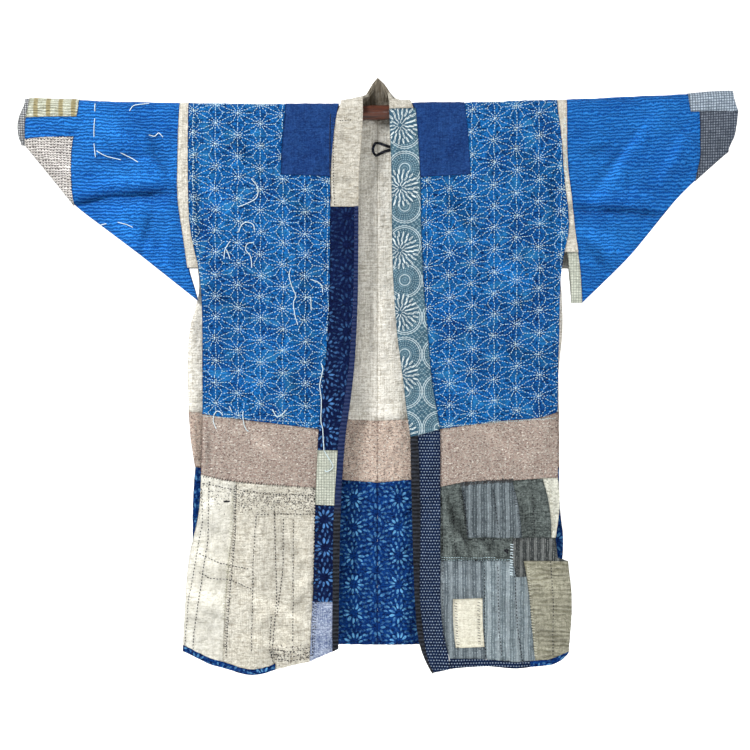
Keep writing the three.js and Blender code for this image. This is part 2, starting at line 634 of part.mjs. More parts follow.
// Collar round the back of the neck: its seam edge and its free edge at each station, from the right
// front over the rod, round the nape and down to the left front
const NECK_THICK = 4.5;
const NECK_STATIONS = table(
  "sx sy sz fx fy fz bulge",
  [-61, -15, 5, -22, -19.5, 5, 0],
  [-59.5, -12, 13.4, -22, -15, 16, 1],
  [-58, 0, 19.5, -23, -6, 25.5, 2],
  [-55, 12, 14.5, -18, 0, 28.5, 2],
  [-50, 17.5, 3.6, -12, 6, 30, 2],
  [-36, 18, 3.4, -6, 12, 38, 2],
  [-20, 18, 3.2, -3.4, 16, 51, 2],
  [2, 18, 3, 2.5, 18, 62.5, 2],
  [22, 18, 3.2, 11.8, 16, 53, 3],
  [37, 18, 3.4, 18.5, 11, 41, 5],
  [48, 17.5, 3.6, 21.8, 4, 32, 5],
  [53, 12, 14.5, 22, -2, 26.5, 4],
  [57, 0, 19.5, 22, -8, 21, 2],
  [59.5, -12, 13.4, 22, -15, 14.6, 1],
  [62, -16.2, 4.5, 22, -18.2, 5, 0],
);
{
  const rows = right.rows.neck_collar;
  const first = right.seamColumn;
  const stations = NECK_STATIONS.length;
  const middle = (a, b, bulge) => {
    const m = a.clone().add(b).multiplyScalar(0.5);
    const out = new THREE.Vector3(m.x, m.y, 0).normalize();
    return m.addScaledVector(out, bulge);
  };
  // Points of the three columns; rows 0 to `rows` climb the right front, the rest go round the neck
  const line = (j) => {
    if (j <= rows) {
      const half = (COLLAR_OUTER + COLLAR_INNER) / 2;
      const row = Math.min(rows - j, rows);
      return [0, 1, 3].map((i) => right.place(first + i, row, half));
    }
    const s = NECK_STATIONS[Math.min(j - rows - 1, stations - 1)];
    const a = new THREE.Vector3(s.sx, s.sy, s.sz + rodHeight(s.sx));
    const b = new THREE.Vector3(s.fx, s.fy, s.fz);
    return [a, middle(a, b, s.bulge), b];
  };
  const total = rows + stations;
  const lines = range(0, total + 1).map(line);
  const at = (i, j) => lines[Math.max(0, Math.min(total, j))][Math.max(0, Math.min(2, i))];
  const place = (i, j, out) => {
    const along = at(i, j + 1).clone().sub(at(i, j - 1));
    const across = at(i + 1, j).clone().sub(at(i - 1, j));
    const normal = across.cross(along).normalize();
    return at(i, j).clone().addScaledVector(normal, out);
  };
  panel("collar_neck", BEIGE, place, cellsOf([0, 1], range(0, total)), [-NECK_THICK / 2, NECK_THICK / 2]);
}

// Sleeves: rings along the sleeve, from the cuff to the armhole. Each ring goes over the rod, down
// the front, round the bottom fold and up the back.
const RIGHT_SLEEVE = {
  cuff: table("v x z", [0, -581, 0], [0.2, -586, -14], [0.5, -588, -30], [0.8, -589, -44], [1, -589, -51]),
  facing: table("v x z", [0, -588, 0], [0.2, -598, -13], [0.5, -601, -30], [0.8, -600, -44], [1, -596, -50]),
  bottom: table("u x z", [0, -589, -51], [0.33, -507, -152], [0.66, -400, -231], [1, -299, -311]),
  patchRows: [-13, -28, -44], // heights of the first rows near the cuff, where patches end
  columns: [0, 0.08, 0.16, 0.24, 0.33, 0.42, 0.51, 0.6, 0.69, 0.77, 0.85, 0.93, 1],
  patchColumn: 4,
  armhole: RIGHT_ARMHOLE,
};
const LEFT_SLEEVE = {
  cuff: table("v x z", [0, 598, 0], [0.2, 606, -12], [0.5, 604, -28], [0.8, 602, -42], [1, 592, -60]),
  bottom: table("u x z", [0, 592, -60], [0.33, 508, -138], [0.66, 424, -240], [1, 346, -315]),
  patchRows: [-16, -34, -50],
  columns: [0, 0.08, 0.15, 0.22, 0.27, 0.36, 0.45, 0.54, 0.63, 0.72, 0.81, 0.9, 1],
  patchColumn: 4,
  armhole: LEFT_ARMHOLE,
};
const SLEEVE_COLUMNS = RIGHT_SLEEVE.columns.length - 1;
const FOLD_STEPS = 4;
const SLEEVE_BOTTOM_HALF = 3.2; // inner half depth at the bottom fold
const SLEEVE_CUFF_HANG = 12;
const UNDERARM_TAPE = 18; // width of the tape past the sleeve's end

function sleeveHalf(sleeve, half, extraRows) {
  const { cuff, facing, bottom, armhole, patchRows, columns, patchColumn } = sleeve;
  // Heights of the rows at the armhole are the body's own, so the seams match
  const end = read(bottom, "u", 1, "z");
  const sharesOf = (heights) => {
    const lowest = heights[heights.length - 1];
    const extra = range(1, extraRows + 1).map((k) => mix(lowest, end, k / extraRows));
    return [...heights, ...extra].map((h) => h / end);
  };
  const frontShares = sharesOf(half.frontHeights);
  const backShares = sharesOf(half.backHeights);
  const frontCount = frontShares.length - 1;
  const backCount = backShares.length - 1;
  const flat = (u, v) => {
    if (u < 0) return { x: read(facing, "v", v, "x"), z: read(facing, "v", v, "z") };
    if (u > 1) {
      const { x, z } = flat(1, v);
      return { x: x - Math.sign(x) * UNDERARM_TAPE, z };
    }
    const topX = mix(cuff[0].x, read(armhole, "z", 0, "x"), u);
    const low = { x: read(bottom, "u", u, "x"), z: read(bottom, "u", u, "z") };
    const a = { x: read(cuff, "v", v, "x"), z: read(cuff, "v", v, "z") };
    const bz = end * v;
    const b = { x: read(armhole, "z", bz, "x"), z: bz };
    const straightCuff = mix(cuff[0].x, cuff.at(-1).x, v);
    const straightArmhole = mix(read(armhole, "z", 0, "x"), read(bottom, "u", 1, "x"), v);
    const x = mix(topX, low.x, v) + mix(a.x - straightCuff, b.x - straightArmhole, u);
    const z = low.z * v + (1 - u) * (a.z - cuff.at(-1).z * v);
    return { x, z };
  };
  const count = frontCount + backCount + FOLD_STEPS + ARC;
  // Share of the way down for row k: the patches' ends near the cuff, and the body's at the armhole
  const patchShare = columns[patchColumn];
  const nearCuff = (u, k, count) => {
    const low = read(bottom, "u", u, "z");
    const fixed = patchRows.length;
    if (k <= fixed) return [0, ...patchRows][k] / low;
    return mix(patchRows[fixed - 1], low, (k - fixed) / (count - fixed)) / low;
  };
  const shareAt = (u, k, bodyShares) => {
    const count = bodyShares.length - 1;
    const near = nearCuff(Math.min(Math.max(u, 0), patchShare), k, count);
    return mix(near, bodyShares[k], clamp((u - patchShare) / (1 - patchShare)));
  };
  const place = (i, k, out) => {
    const u = i < 0 ? -0.1 : i > SLEEVE_COLUMNS ? 1.1 : columns[i];
    const step = ((k % count) + count) % count;
    const depth = (x, z, v, folds) => {
      const wide = mix(SLEEVE_CUFF_HANG, FRONT_HANG, smooth(u * 1.5));
      const fold = foldHeight(folds, x, z) * smooth(v * 4) * smooth((1 - v) * 5);
      const upper = mix(CLOTH_OVER_ROD, wide, smooth(v * 3));
      return mix(upper, SLEEVE_BOTTOM_HALF, smooth((v - 0.55) / 0.45)) + fold;
    };
    const hangAt = (v, side) => {
      const { x, z } = flat(u, v);
      const raised = z + rodHeight(x) * mix(1 - v, smooth(1 + z / SETTLE_DEPTH), clamp(u));
      return new THREE.Vector3(x, side * (depth(x, z, v, side < 0 ? SLEEVE_FOLDS : []) + out), raised);
    };
    if (step <= frontCount) return hangAt(shareAt(u, step, frontShares), -1);
    if (step < frontCount + FOLD_STEPS) {
      const turn = (Math.PI * (step - frontCount)) / FOLD_STEPS;
      const p = hangAt(1, -1);
      const radius = SLEEVE_BOTTOM_HALF + out;
      return new THREE.Vector3(p.x, -radius * Math.cos(turn), p.z - radius * Math.sin(turn));
    }
    const backTop = frontCount + FOLD_STEPS + backCount;
    if (step <= backTop) return hangAt(shareAt(u, backTop - step, backShares), 1);
    const turn = (Math.PI * (step - backTop)) / ARC;
    const x = flat(u, 0).x;
    const radius = CLOTH_OVER_ROD + out;
    return new THREE.Vector3(x, radius * Math.cos(turn), rodHeight(x) + radius * Math.sin(turn));
  };
  return { place, count, frontCount };
}

// A ring-shaped panel, closed on itself: its columns run along the sleeve
function ringPanel(name, colour, sleeve, columns, [inner, outer]) {
  const { place, count } = sleeve;
  const position = [];
  const faces = [];
  const first = columns[0];
  const lastColumn = columns[columns.length - 1] + 1;
  const indexOf = (i, k, side) => ((i - first) * count + ((k + count) % count)) * 2 + side;
  for (let i = first; i <= lastColumn; i++)
    for (let k = 0; k < count; k++)
      for (const out of [inner, outer]) {
        const p = place(i, k, out);
        const towards = i === first ? 1 : i === lastColumn ? -1 : 0;
        if (towards) p.addScaledVector(place(i + towards, k, out).sub(p).normalize(), SEAM_GAP / 2);
        position.push(p.x, p.y, p.z);
      }
  const quad = (a, b, c, d) => faces.push(a, b, c, a, c, d);
  for (const i of columns)
    for (let k = 0; k < count; k++) {
      quad(indexOf(i, k, 1), indexOf(i + 1, k, 1), indexOf(i + 1, k + 1, 1), indexOf(i, k + 1, 1));
      quad(indexOf(i, k, 0), indexOf(i, k + 1, 0), indexOf(i + 1, k + 1, 0), indexOf(i + 1, k, 0));
    }
  const end = (i, k, a, b) =>
    quad(indexOf(i, k, a), indexOf(i, k, b), indexOf(i, k + 1, b), indexOf(i, k + 1, a));
  for (let k = 0; k < count; k++) {
    end(first, k, 0, 1);
    end(lastColumn, k, 1, 0);
  }
  addMesh(name, colour, position, faces);
}

const rightSleeve = sleeveHalf(RIGHT_SLEEVE, right, 2);
const leftSleeve = sleeveHalf(LEFT_SLEEVE, left, 3);
ringPanel("sleeve_right", SLEEVE_BLUE, rightSleeve, range(0, SLEEVE_COLUMNS), SLEEVE_LAYER);
ringPanel("sleeve_left", SLEEVE_BLUE, leftSleeve, range(0, SLEEVE_COLUMNS), SLEEVE_LAYER);
// The right cuff's facing shows as a band past the sleeve's end
ringPanel("cuff_facing_right", GREY_CHECK, rightSleeve, [-1], SLEEVE_LAYER);

// Patches on the cuffs, wrapped round the top and the bottom of each sleeve
function cuffPatch(name, colour, sleeve, columns, from, to) {
  panel(name, colour, sleeve.place, cellsOf(range(0, columns), range(from, to)), patchOn(SLEEVE_WALL));
}
cuffPatch("cuff_patch_yellow", YELLOW_CHECK, rightSleeve, 4, -ARC - 1, 1);
cuffPatch("cuff_patch_speckled", SPECKLED, rightSleeve, 4, 3, rightSleeve.count - ARC - 3);
cuffPatch("cuff_patch_grey", GREY_CHECK, leftSleeve, 4, -ARC - 1, 1);
cuffPatch("cuff_patch_dark", DARK_CHECK, leftSleeve, 3, 1, leftSleeve.count - ARC - 1);

// Tape that binds the opening under the left arm: from the sleeve's front, round its bottom, to the back
{
  const { place, frontCount } = leftSleeve;
  const from = frontCount - 3;
  const to = frontCount + FOLD_STEPS + 3;
  panel("underarm_binding", TAPE, place, cellsOf([SLEEVE_COLUMNS], range(from, to)), SLEEVE_LAYER);
}

// Hanging loop of folded tape inside the neck
const LOOP_WIDTH = 4.5;
const LOOP_THICK = 1.4;
const LOOP_GAP = 0.6; // between the loop and the lining behind it
const LOOP_ROUTE = table(
  "x z",
  [24, -56], [14, -53.5], [6, -49.5], [-1, -50], [-5.5, -57], [-5, -66], [0, -71], [5, -68.5],
  [14, -63.5], [24, -61],
);

{
  const lowered = SEAM_GAP + LINING_WALL + LOOP_GAP + LOOP_THICK;
  const place = (i, j, out) => {
    const at = (k) => LOOP_ROUTE[Math.max(0, Math.min(LOOP_ROUTE.length - 1, k))];
    const [before, here, after] = [at(j - 1), at(j), at(j + 1)];
    const across = new THREE.Vector2(-(after.z - before.z), after.x - before.x).normalize();
    const side = (i - 0.5) * LOOP_WIDTH;
    const [x, z] = [here.x + across.x * side, here.z + across.y * side];
    return new THREE.Vector3(x, backHang(x, z) - lowered + out, z);
  };
  panel("neck_loop", BLACK, place, cellsOf([0], range(0, LOOP_ROUTE.length - 1)), [0, LOOP_THICK]);
}

// The rod, a bowed branch
{
  const steps = 24;
  const sides = 2 * ARC;
  const position = [];
  const faces = [];
  for (let i = 0; i <= steps; i++)
    for (let k = 0; k < sides; k++) {
      const x = mix(ROD_ENDS[0], ROD_ENDS[1], i / steps);
      const turn = (2 * Math.PI * k) / sides;
      position.push(x, ROD_RADIUS * Math.cos(turn), rodHeight(x) + ROD_RADIUS * Math.sin(turn));
    }
  for (let i = 0; i < steps; i++)
    for (let k = 0; k < sides; k++) {
      const [a, b] = [i * sides + k, i * sides + ((k + 1) % sides)];
      faces.push(a, b, b + sides, a, b + sides, a + sides);
    }
  for (let k = 1; k < sides - 1; k++) {
    faces.push(0, k + 1, k);
    faces.push(steps * sides, steps * sides + k, steps * sides + k + 1);
  }
  addMesh("rod", ROD_WOOD, position, faces);
}

export default kimono;
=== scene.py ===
# A patched work kimono of sashiko cloth on its rod: cloth shells, stitches, threads and finishes.
# Metres, in the model's frame: +X to the viewer's right, -Y towards the viewer, +Z up.
import json
import math
import random

import bmesh
import bpy
import numpy as np
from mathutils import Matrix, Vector, kdtree
from mathutils.bvhtree import BVHTree


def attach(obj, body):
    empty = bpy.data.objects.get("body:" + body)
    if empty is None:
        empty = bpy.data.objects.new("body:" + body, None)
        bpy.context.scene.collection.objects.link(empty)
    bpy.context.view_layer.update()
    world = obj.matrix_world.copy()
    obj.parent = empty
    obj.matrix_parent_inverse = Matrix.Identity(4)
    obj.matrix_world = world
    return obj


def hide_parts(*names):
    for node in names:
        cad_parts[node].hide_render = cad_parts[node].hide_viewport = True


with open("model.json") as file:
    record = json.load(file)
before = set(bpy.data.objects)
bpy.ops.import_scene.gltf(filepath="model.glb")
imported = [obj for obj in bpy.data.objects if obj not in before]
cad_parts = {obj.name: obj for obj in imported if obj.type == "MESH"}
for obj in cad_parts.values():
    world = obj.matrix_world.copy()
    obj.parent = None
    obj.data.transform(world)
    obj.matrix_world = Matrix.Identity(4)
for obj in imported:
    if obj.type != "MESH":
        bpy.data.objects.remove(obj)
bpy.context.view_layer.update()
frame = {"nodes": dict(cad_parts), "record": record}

MM = 0.001

# The camera stands in front of the garment, a little below its middle
VIEW_DISTANCE = 3.015
VIEW_HEIGHT = -0.4407
VIEW_SIDE = -0.0017
FRAME_WIDTH = 1.26
SENSOR = 36.0

# The rod's bow, and how the cloth lies over it and settles below, as the model has them
ROD_SLOPE = 0.00973
ROD_BOW = 0.04366
ROD_ENDS = (-0.584, 0.592)
ROD_RADIUS = 0.0126
SETTLE = 0.26
ARC_RADIUS = 0.0156
ARC_LENGTH = math.pi * ARC_RADIUS
# Edges that turn more than this stay sharp in a piece's shading
SHARP = math.radians(50)


def rod_height(x):
    """Height of the bowed rod's axis."""
    return ROD_SLOPE * x + ROD_BOW * x * x


def smooth(t):
    t = np.clip(t, 0.0, 1.0)
    return t * t * (3 - 2 * t)


def only(piece):
    """Selects one object."""
    bpy.ops.object.select_all(action="DESELECT")
    piece.select_set(True)
    bpy.context.view_layer.objects.active = piece


def dress(piece, material, slot, angle=None):
    """Smooths a finished piece and gives it its material, on the root body. The slot is not used."""
    only(piece)
    if angle:
        bpy.ops.object.shade_smooth_by_angle(angle=angle)
    else:
        bpy.ops.object.shade_smooth()
    piece.data.materials.append(material)
    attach(piece, "root")


def coordinates(mesh, name="co"):
    """The points of a mesh, or its normals, as an array."""
    found = np.empty(len(mesh.vertices) * 3)
    mesh.vertices.foreach_get(name, found)
    return found.reshape(-1, 3)


# Camera


def add_camera():
    place = (VIEW_SIDE, -VIEW_DISTANCE, VIEW_HEIGHT)
    bpy.ops.object.camera_add(location=place, rotation=(math.radians(90), 0, 0))
    camera = bpy.context.object
    camera.name = "camera"
    camera.data.sensor_width = SENSOR
    camera.data.lens = SENSOR * VIEW_DISTANCE / FRAME_WIDTH
    camera.data.clip_end = 40
    bpy.context.scene.camera = camera


# Studio: a pale sweep, soft lamps and a pale sky

FLOOR_Z = -1.42
SWEEP_RADIUS = 0.9
SWEEP_STEPS = 12
WALL_Y = 5.2
WALL_TOP = 6.0
SWEEP_SIZE = 18
SKY_STRENGTH = 0.26

# Lamps: name, place, size, power and what each points at
GARMENT_MIDDLE = (0, 0, -0.45)
LAMPS = (
    ("key", (-2.0, -1.6, 1.6), 0.9, 128, GARMENT_MIDDLE),
    ("fill", (2.2, -2.8, -0.2), 2.0, 48, GARMENT_MIDDLE),
    ("wall_light", (0, 2.2, 2.6), 2.5, 190, (0, WALL_Y, -0.4)),
    ("back_fill", (1.6, 2.8, 1.6), 1.0, 60, GARMENT_MIDDLE),
)


def add_area_light(name, place, size, power, target):
    turn = (Vector(target) - Vector(place)).to_track_quat("-Z", "Y").to_euler()
    bpy.ops.object.light_add(type="AREA", location=place, rotation=turn)
    lamp = bpy.context.object
    lamp.name = name
    lamp.data.shape = "DISK"
    lamp.data.size = size
    lamp.data.energy = power


def add_sweep():
    """A floor that curves up into a wall: its back edge is pulled along the curve."""
    bpy.ops.object.select_all(action="DESELECT")
    half = SWEEP_SIZE / 2
    middle = (0, WALL_Y - SWEEP_RADIUS - half, FLOOR_Z)
    bpy.ops.mesh.primitive_plane_add(size=SWEEP_SIZE, location=middle)
    sweep = bpy.context.object
    sweep.name = "sweep"
    bpy.ops.object.mode_set(mode="EDIT")
    mesh = bmesh.from_edit_mesh(sweep.data)
    for edge in mesh.edges:
        edge.select_set(all(v.co.y > half - 0.1 for v in edge.verts))
    bmesh.update_edit_mesh(sweep.data)
    y, z = 0.0, 0.0
    steps = []
    for k in range(1, SWEEP_STEPS + 1):
        turn = math.radians(90 * k / SWEEP_STEPS)
        steps.append((SWEEP_RADIUS * math.sin(turn), SWEEP_RADIUS * (1 - math.cos(turn))))
    steps.append((SWEEP_RADIUS, WALL_TOP - FLOOR_Z))
    for next_y, next_z in steps:
        step = (0, next_y - y, next_z - z)
        bpy.ops.mesh.extrude_edges_move(TRANSFORM_OT_translate={"value": step})
        y, z = next_y, next_z
    bpy.ops.object.mode_set(mode="OBJECT")
    bpy.ops.object.shade_smooth()
    bpy.ops.object.transform_apply(location=True, rotation=True, scale=True)
    paper = bpy.data.materials.new("pale_paper")
    paper.use_nodes = True
    shader = paper.node_tree.nodes["Principled BSDF"]
    shader.inputs["Base Color"].default_value = (0.9, 0.9, 0.895, 1)
    shader.inputs["Roughness"].default_value = 0.9
    sweep.data.materials.append(paper)


def add_studio():
    add_sweep()
    bpy.context.scene.view_settings.view_transform = "Standard"
    world = bpy.data.worlds.new("soft_sky")
    bpy.context.scene.world = world
    world.use_nodes = True
    sky = world.node_tree.nodes["Background"]
    sky.inputs["Color"].default_value = (1, 1, 1, 1)
    sky.inputs["Strength"].default_value = SKY_STRENGTH
    for lamp in LAMPS:
        add_area_light(*lamp)


# Words for building a cloth's nodes

# Heights of a fold's hollow and ridge in millimetres, and how much painted shade darkens the hollow and
# painted highlight pales the ridge
FOLD_SHADING = (-4.5, 4.5, 0.74, 1.2)
# Painted shade along a piece's outline, where it turns into the seam: width in millimetres, and
# strength
SEAM_SHADE_WIDTH = 2.4
SEAM_SHADE_STRENGTH = 0.55
RELIEF = 1.5 * MM


class Finish:
    """A material's node tree, with short words for its maths. Sizes are millimetres on the cloth.

    A finish gathers its colour and relief step by step, and its finish method ends the tree.
    """

    def __init__(self, name):
        self.material = bpy.data.materials.new(name)
        self.material.use_nodes = True
        self.tree = self.material.node_tree
        self.shader = self.tree.nodes["Principled BSDF"]
        lay = self.node("ShaderNodeAttribute", attribute_name="lay")
        split = self.node("ShaderNodeSeparateXYZ", Vector=lay.outputs["Vector"])
        self.u, self.v, self.rim = split.outputs

    def node(self, kind, **values):
        node = self.tree.nodes.new(kind)
        for key, value in values.items():
            if key in node.inputs:
                self.put(node.inputs[key], value)
            else:
                setattr(node, key, value)
        return node

    def put(self, socket, value):
        if isinstance(value, bpy.types.NodeSocket):
            self.tree.links.new(value, socket)
        else:
            socket.default_value = value

    def math(self, operation, *values):
        node = self.tree.nodes.new("ShaderNodeMath")
        node.operation = operation
        for socket, value in zip(node.inputs, values):
            self.put(socket, value)
        return node.outputs[0]

    def add(self, a, b):
        return self.math("ADD", a, b)

    def sub(self, a, b):
        return self.math("SUBTRACT", a, b)

    def mul(self, a, b):
        return self.math("MULTIPLY", a, b)

    def most(self, a, b):
        return self.math("MAXIMUM", a, b)

    def step(self, value, low, high, to_low=0.0, to_high=1.0):
        node = self.tree.nodes.new("ShaderNodeMapRange")
        node.interpolation_type = "SMOOTHSTEP"
        for socket, number in zip(node.inputs, (value, low, high, to_low, to_high)):
            self.put(socket, number)
        return node.outputs[0]

    def noise(self, across, along, detail=2.0, rough=0.5, seed=0.0):
        """Noise with grains of these sizes across and along the cloth, from 0 to 1."""
        place = self.node("ShaderNodeCombineXYZ", Z=seed)
        self.put(place.inputs[0], self.mul(self.u, 1 / across))
        self.put(place.inputs[1], self.mul(self.v, 1 / along))
        kind = "ShaderNodeTexNoise"
        grain = self.node(kind, Vector=place.outputs[0], Scale=1.0, Detail=detail, Roughness=rough)
        return grain.outputs[0]

    def spots(self, low, high, *noise):
        """Noise cut off between two levels."""
        return self.step(self.noise(*noise), low, high)

    def bent(self, value, amount, *noise):
        """A length that wanders by an amount."""
        return self.add(value, self.mul(self.noise(*noise), amount))

    def wave(self, value, pitch, phase=0.0):
        """A sine over a length, from 0 to 1."""
        turn = self.add(self.mul(value, 2 * math.pi / pitch), phase)
        return self.add(self.mul(self.math("SINE", turn), 0.5), 0.5)

    def mix(self, factor, a, b):
        node = self.tree.nodes.new("ShaderNodeMix")
        node.data_type = "RGBA"
        for index, value in ((0, factor), (6, a), (7, b)):
            if index and isinstance(value, tuple):
                value = linear(value)
            self.put(node.inputs[index], value)
        return node.outputs[2]

    def cell(self, value, pitch):
        """Position within a repeat, from -pitch/2 to pitch/2."""
        part = self.math("FRACT", self.add(self.mul(value, 1 / pitch), 0.5))
        return self.mul(self.sub(part, 0.5), pitch)

    def length(self, x, y):
        squares = self.add(self.mul(x, x), self.mul(y, y))
        return self.math("SQRT", squares)

    def paint(self, mask, strength, colour):
        """Lays a colour over the cloth's own where the mask shows."""
        self.colour = self.mix(self.mul(mask, strength), self.colour, colour)

    def lift(self, shape, height):
        """Adds a shape to the relief."""
        self.relief = self.add(self.relief, self.mul(shape, height))

    def finish(self, edge=None, rough=0.92, sheen=0.02, tint=(1, 1, 1, 1), gloss=0.06):
        """Ends the tree: painted seam shade, painted fold shade and highlight, relief, roughness, sheen
        and gloss.

        Fold hollows are painted darker and fold ridges paler, as shade and highlight.
        """
        # Painted shade in the edge colour along the outline, where the cloth turns into its seam
        if edge:
            self.paint(self.step(self.rim, SEAM_SHADE_WIDTH, 0.3), SEAM_SHADE_STRENGTH, edge)
        # Painted shade in the folds' hollows and painted highlight on their ridges, scaled from the
        # fold heights stored on the shell
        fold = self.node("ShaderNodeAttribute", attribute_name="fold").outputs["Fac"]
        wear_and_shade = self.node("ShaderNodeVectorMath", operation="SCALE", Scale=self.step(fold, *FOLD_SHADING))
        self.put(wear_and_shade.inputs[0], self.colour)
        bump = self.node("ShaderNodeBump", Strength=1.0, Distance=RELIEF, Height=self.relief)
        self.put(self.shader.inputs["Base Color"], wear_and_shade.outputs[0])
        self.put(self.shader.inputs["Normal"], bump.outputs[0])
        self.shader.inputs["Roughness"].default_value = rough
        self.shader.inputs["Sheen Weight"].default_value = sheen
        self.shader.inputs["Sheen Roughness"].default_value = 0.5
        self.shader.inputs["Sheen Tint"].default_value = tint
        self.shader.inputs["Specular IOR Level"].default_value = gloss
        return self.material


def linear(colour):
    """An sRGB colour of three bytes, as Blender's linear colour."""
    parts = [c / 255 for c in colour]
    return tuple(c / 12.92 if c <= 0.04045 else ((c + 0.055) / 1.055) ** 2.4 for c in parts) + (1,)


def paler(colour, by=14):
    return tuple(min(255, c + by) for c in colour)


def woven(f, base, light, dark, slub=0.5, blotch=90.0, mottle=9.0, grain=0.6, crinkle=1.0):
    """Ground of a plain cloth: broad fading, mottling, slubs, grain and crinkles, with painted shade in
    the crinkles' hollows and painted highlight on their crests.
    """
    f.colour = f.mix(f.spots(0.3, 0.7, blotch, blotch * 1.3, 3.0, 0.6), base, light)
    f.paint(f.spots(0.42, 0.7, mottle, mottle, 3.0, 0.65, 7.0), 0.45, dark)
    warp = f.noise(1.7, 30.0, 2.0, 0.5, 3.0)
    weft = f.noise(30.0, 1.7, 2.0, 0.5, 5.0)
    threads = f.add(warp, weft)
    f.paint(f.step(threads, 0.9, 1.25), slub, dark)
    f.paint(f.step(threads, 1.05, 0.7), slub * 0.6, light)
    speck = f.noise(3.0, 2.6, 4.0, 0.8, 41.0)
    f.paint(f.step(speck, 0.5, 0.66), grain, dark)
    f.paint(f.step(speck, 0.5, 0.36), grain, paler(light, 16))
    # Crinkles: painted shade in their hollows and painted highlight on their crests, from the noise
    # that lifts them
    small = f.noise(8.0, 4.2, 2.0, 0.6, 11.0)
    crinkle_shade = min(crinkle, 2.0)
    f.paint(f.step(small, 0.48, 0.34), 0.4 * crinkle_shade, dark)
    f.paint(f.step(small, 0.54, 0.7), 0.18 * crinkle_shade, paler(light))
    f.relief = f.add(f.mul(threads, 0.5), f.mul(speck, 0.6))
    f.lift(f.add(small, f.noise(19.0, 12.0, 1.0, 0.5, 13.0)), 2.0 * crinkle)


def ring_of_petals(f, x, y, radius, length, width, count, turn=0.0):
    """Petals that point outwards, on a ring."""
    away = f.length(x, y)
    angle = f.math("ARCTAN2", y, x)
    sector = f.cell(f.add(angle, turn), 2 * math.pi / count)
    off = f.mul(f.math("ABSOLUTE", f.math("SINE", sector)), away)
    along = f.math("ABSOLUTE", f.sub(away, radius))
    shape = f.length(f.mul(off, 2 / width), f.mul(along, 2 / length))
    return f.step(shape, 1.15, 0.75)


# The petal stencil's repeat: rings of petals in columns, each column half a step down from the last
STENCIL_COLUMN = 37.8
STENCIL_ROW = 48.3


def petal_stencil(f, light, strength, centre):
    bend = f.mul(f.sub(f.noise(26.0, 26.0, 2.0, 0.5, 2.0), 0.5), 8.0)
    u = f.add(f.sub(f.u, centre[0]), bend)
    v = f.add(f.sub(f.v, centre[1]), bend)
    columns = []
    for shift_x, shift_y, bright in ((0.0, 0.0, 1.0), (STENCIL_COLUMN, STENCIL_ROW / 2, 0.55)):
        x = f.cell(f.add(u, shift_x), 2 * STENCIL_COLUMN)
        y = f.cell(f.add(v, shift_y), STENCIL_ROW)
        near = f.mul(ring_of_petals(f, x, y, 12.0, 9.5, 4.0, 11), bright)
        far = f.mul(ring_of_petals(f, x, y, 21.0, 6.5, 3.4, 15, 0.1), 0.6 * bright)
        columns.append(f.most(near, far))
    wear_and_shade = f.spots(0.34, 0.6, 9.0, 12.0, 3.0, 0.6, 9.0)
    f.paint(f.mul(f.most(*columns), wear_and_shade), strength, light)


# The first colour that each finish hands to f.finish is the painted shade along its outline, where the
# cloth turns into the seam
def blue_sashiko():
    f = Finish("blue_sashiko")
    woven(f, (8, 62, 132), (20, 108, 182), (1, 22, 72), 0.3, 60.0, 10.0, 1.0, 2.6)
    f.paint(f.spots(0.5, 0.72, 34.0, 28.0, 3.0, 0.6, 51.0), 0.45, (54, 142, 198))
    return f.finish((12, 34, 84), tint=(0.7, 0.82, 1, 1))


def sleeve_ripple():
    """Cloth quilted all over with close rows of its own blue: ripples with short dark gaps, the troughs
    and gaps painted shade and the crests painted highlight.
    """
    f = Finish("sleeve_ripple")
    drift = f.bent(f.v, 9.0, 38.0, 22.0, 2.0, 0.5, 1.0)
    ripple = f.wave(f.bent(drift, 7.5, 6.0, 8.0, 2.0, 0.6, 2.0), 5.3)
    f.colour = f.mix(f.spots(0.3, 0.72, 110.0, 60.0, 3.0, 0.6, 4.0), (18, 98, 184), (34, 126, 214))
    # Painted shade in the ripples' troughs and painted highlight on their crests, which the relief also
    # lifts
    f.paint(f.step(ripple, 0.5, 0.0), 0.65, (12, 52, 126))
    f.paint(f.step(ripple, 0.7, 1.0), 0.4, (74, 154, 228))
    across = f.wave(f.bent(f.u, 4.0, 6.0, 4.0, 1.0, 0.5, 8.0), 3.5)
    gaps = f.mul(f.step(across, 0.5, 0.85), f.step(ripple, 0.6, 0.1))
    f.paint(gaps, 0.5, (10, 42, 104))
    speck = f.noise(2.0, 1.8, 3.0, 0.7, 9.0)
    f.paint(f.step(speck, 0.5, 0.66), 0.45, (14, 66, 140))
    f.relief = f.mul(ripple, 1.5)
    f.lift(speck, 0.8)
    f.lift(f.noise(14.0, 9.0, 2.0, 0.5, 6.0), 1.6)
    return f.finish((12, 46, 104))


def plain(name, base, light, dark, *weave):
    """A plain cloth; weave is the rest that woven takes."""
    f = Finish(name)
    woven(f, base, light, dark, *weave)
    return f.finish(dark)


def blue_stencil():
    f = Finish("blue_stencil")
    woven(f, (4, 38, 98), (8, 60, 132), (3, 14, 54), 0.4, 50.0, 8.0, 0.9, 2.0)
    petal_stencil(f, (112, 184, 236), 0.85, (-37.5, 697.6))
    return f.finish((10, 24, 66))


def indigo_stencil():
    """Nearly plain indigo above, its stencil coming through lower down."""
    f = Finish("indigo_stencil")
    woven(f, (5, 15, 54), (9, 26, 70), (3, 6, 31), 0.4, 60.0, 8.0)
    shows = f.step(f.v, -180.0, -560.0, 0.18, 0.8)
    petal_stencil(f, (92, 150, 216), shows, (-86.0, -730.0))
    return f.finish((10, 14, 44))


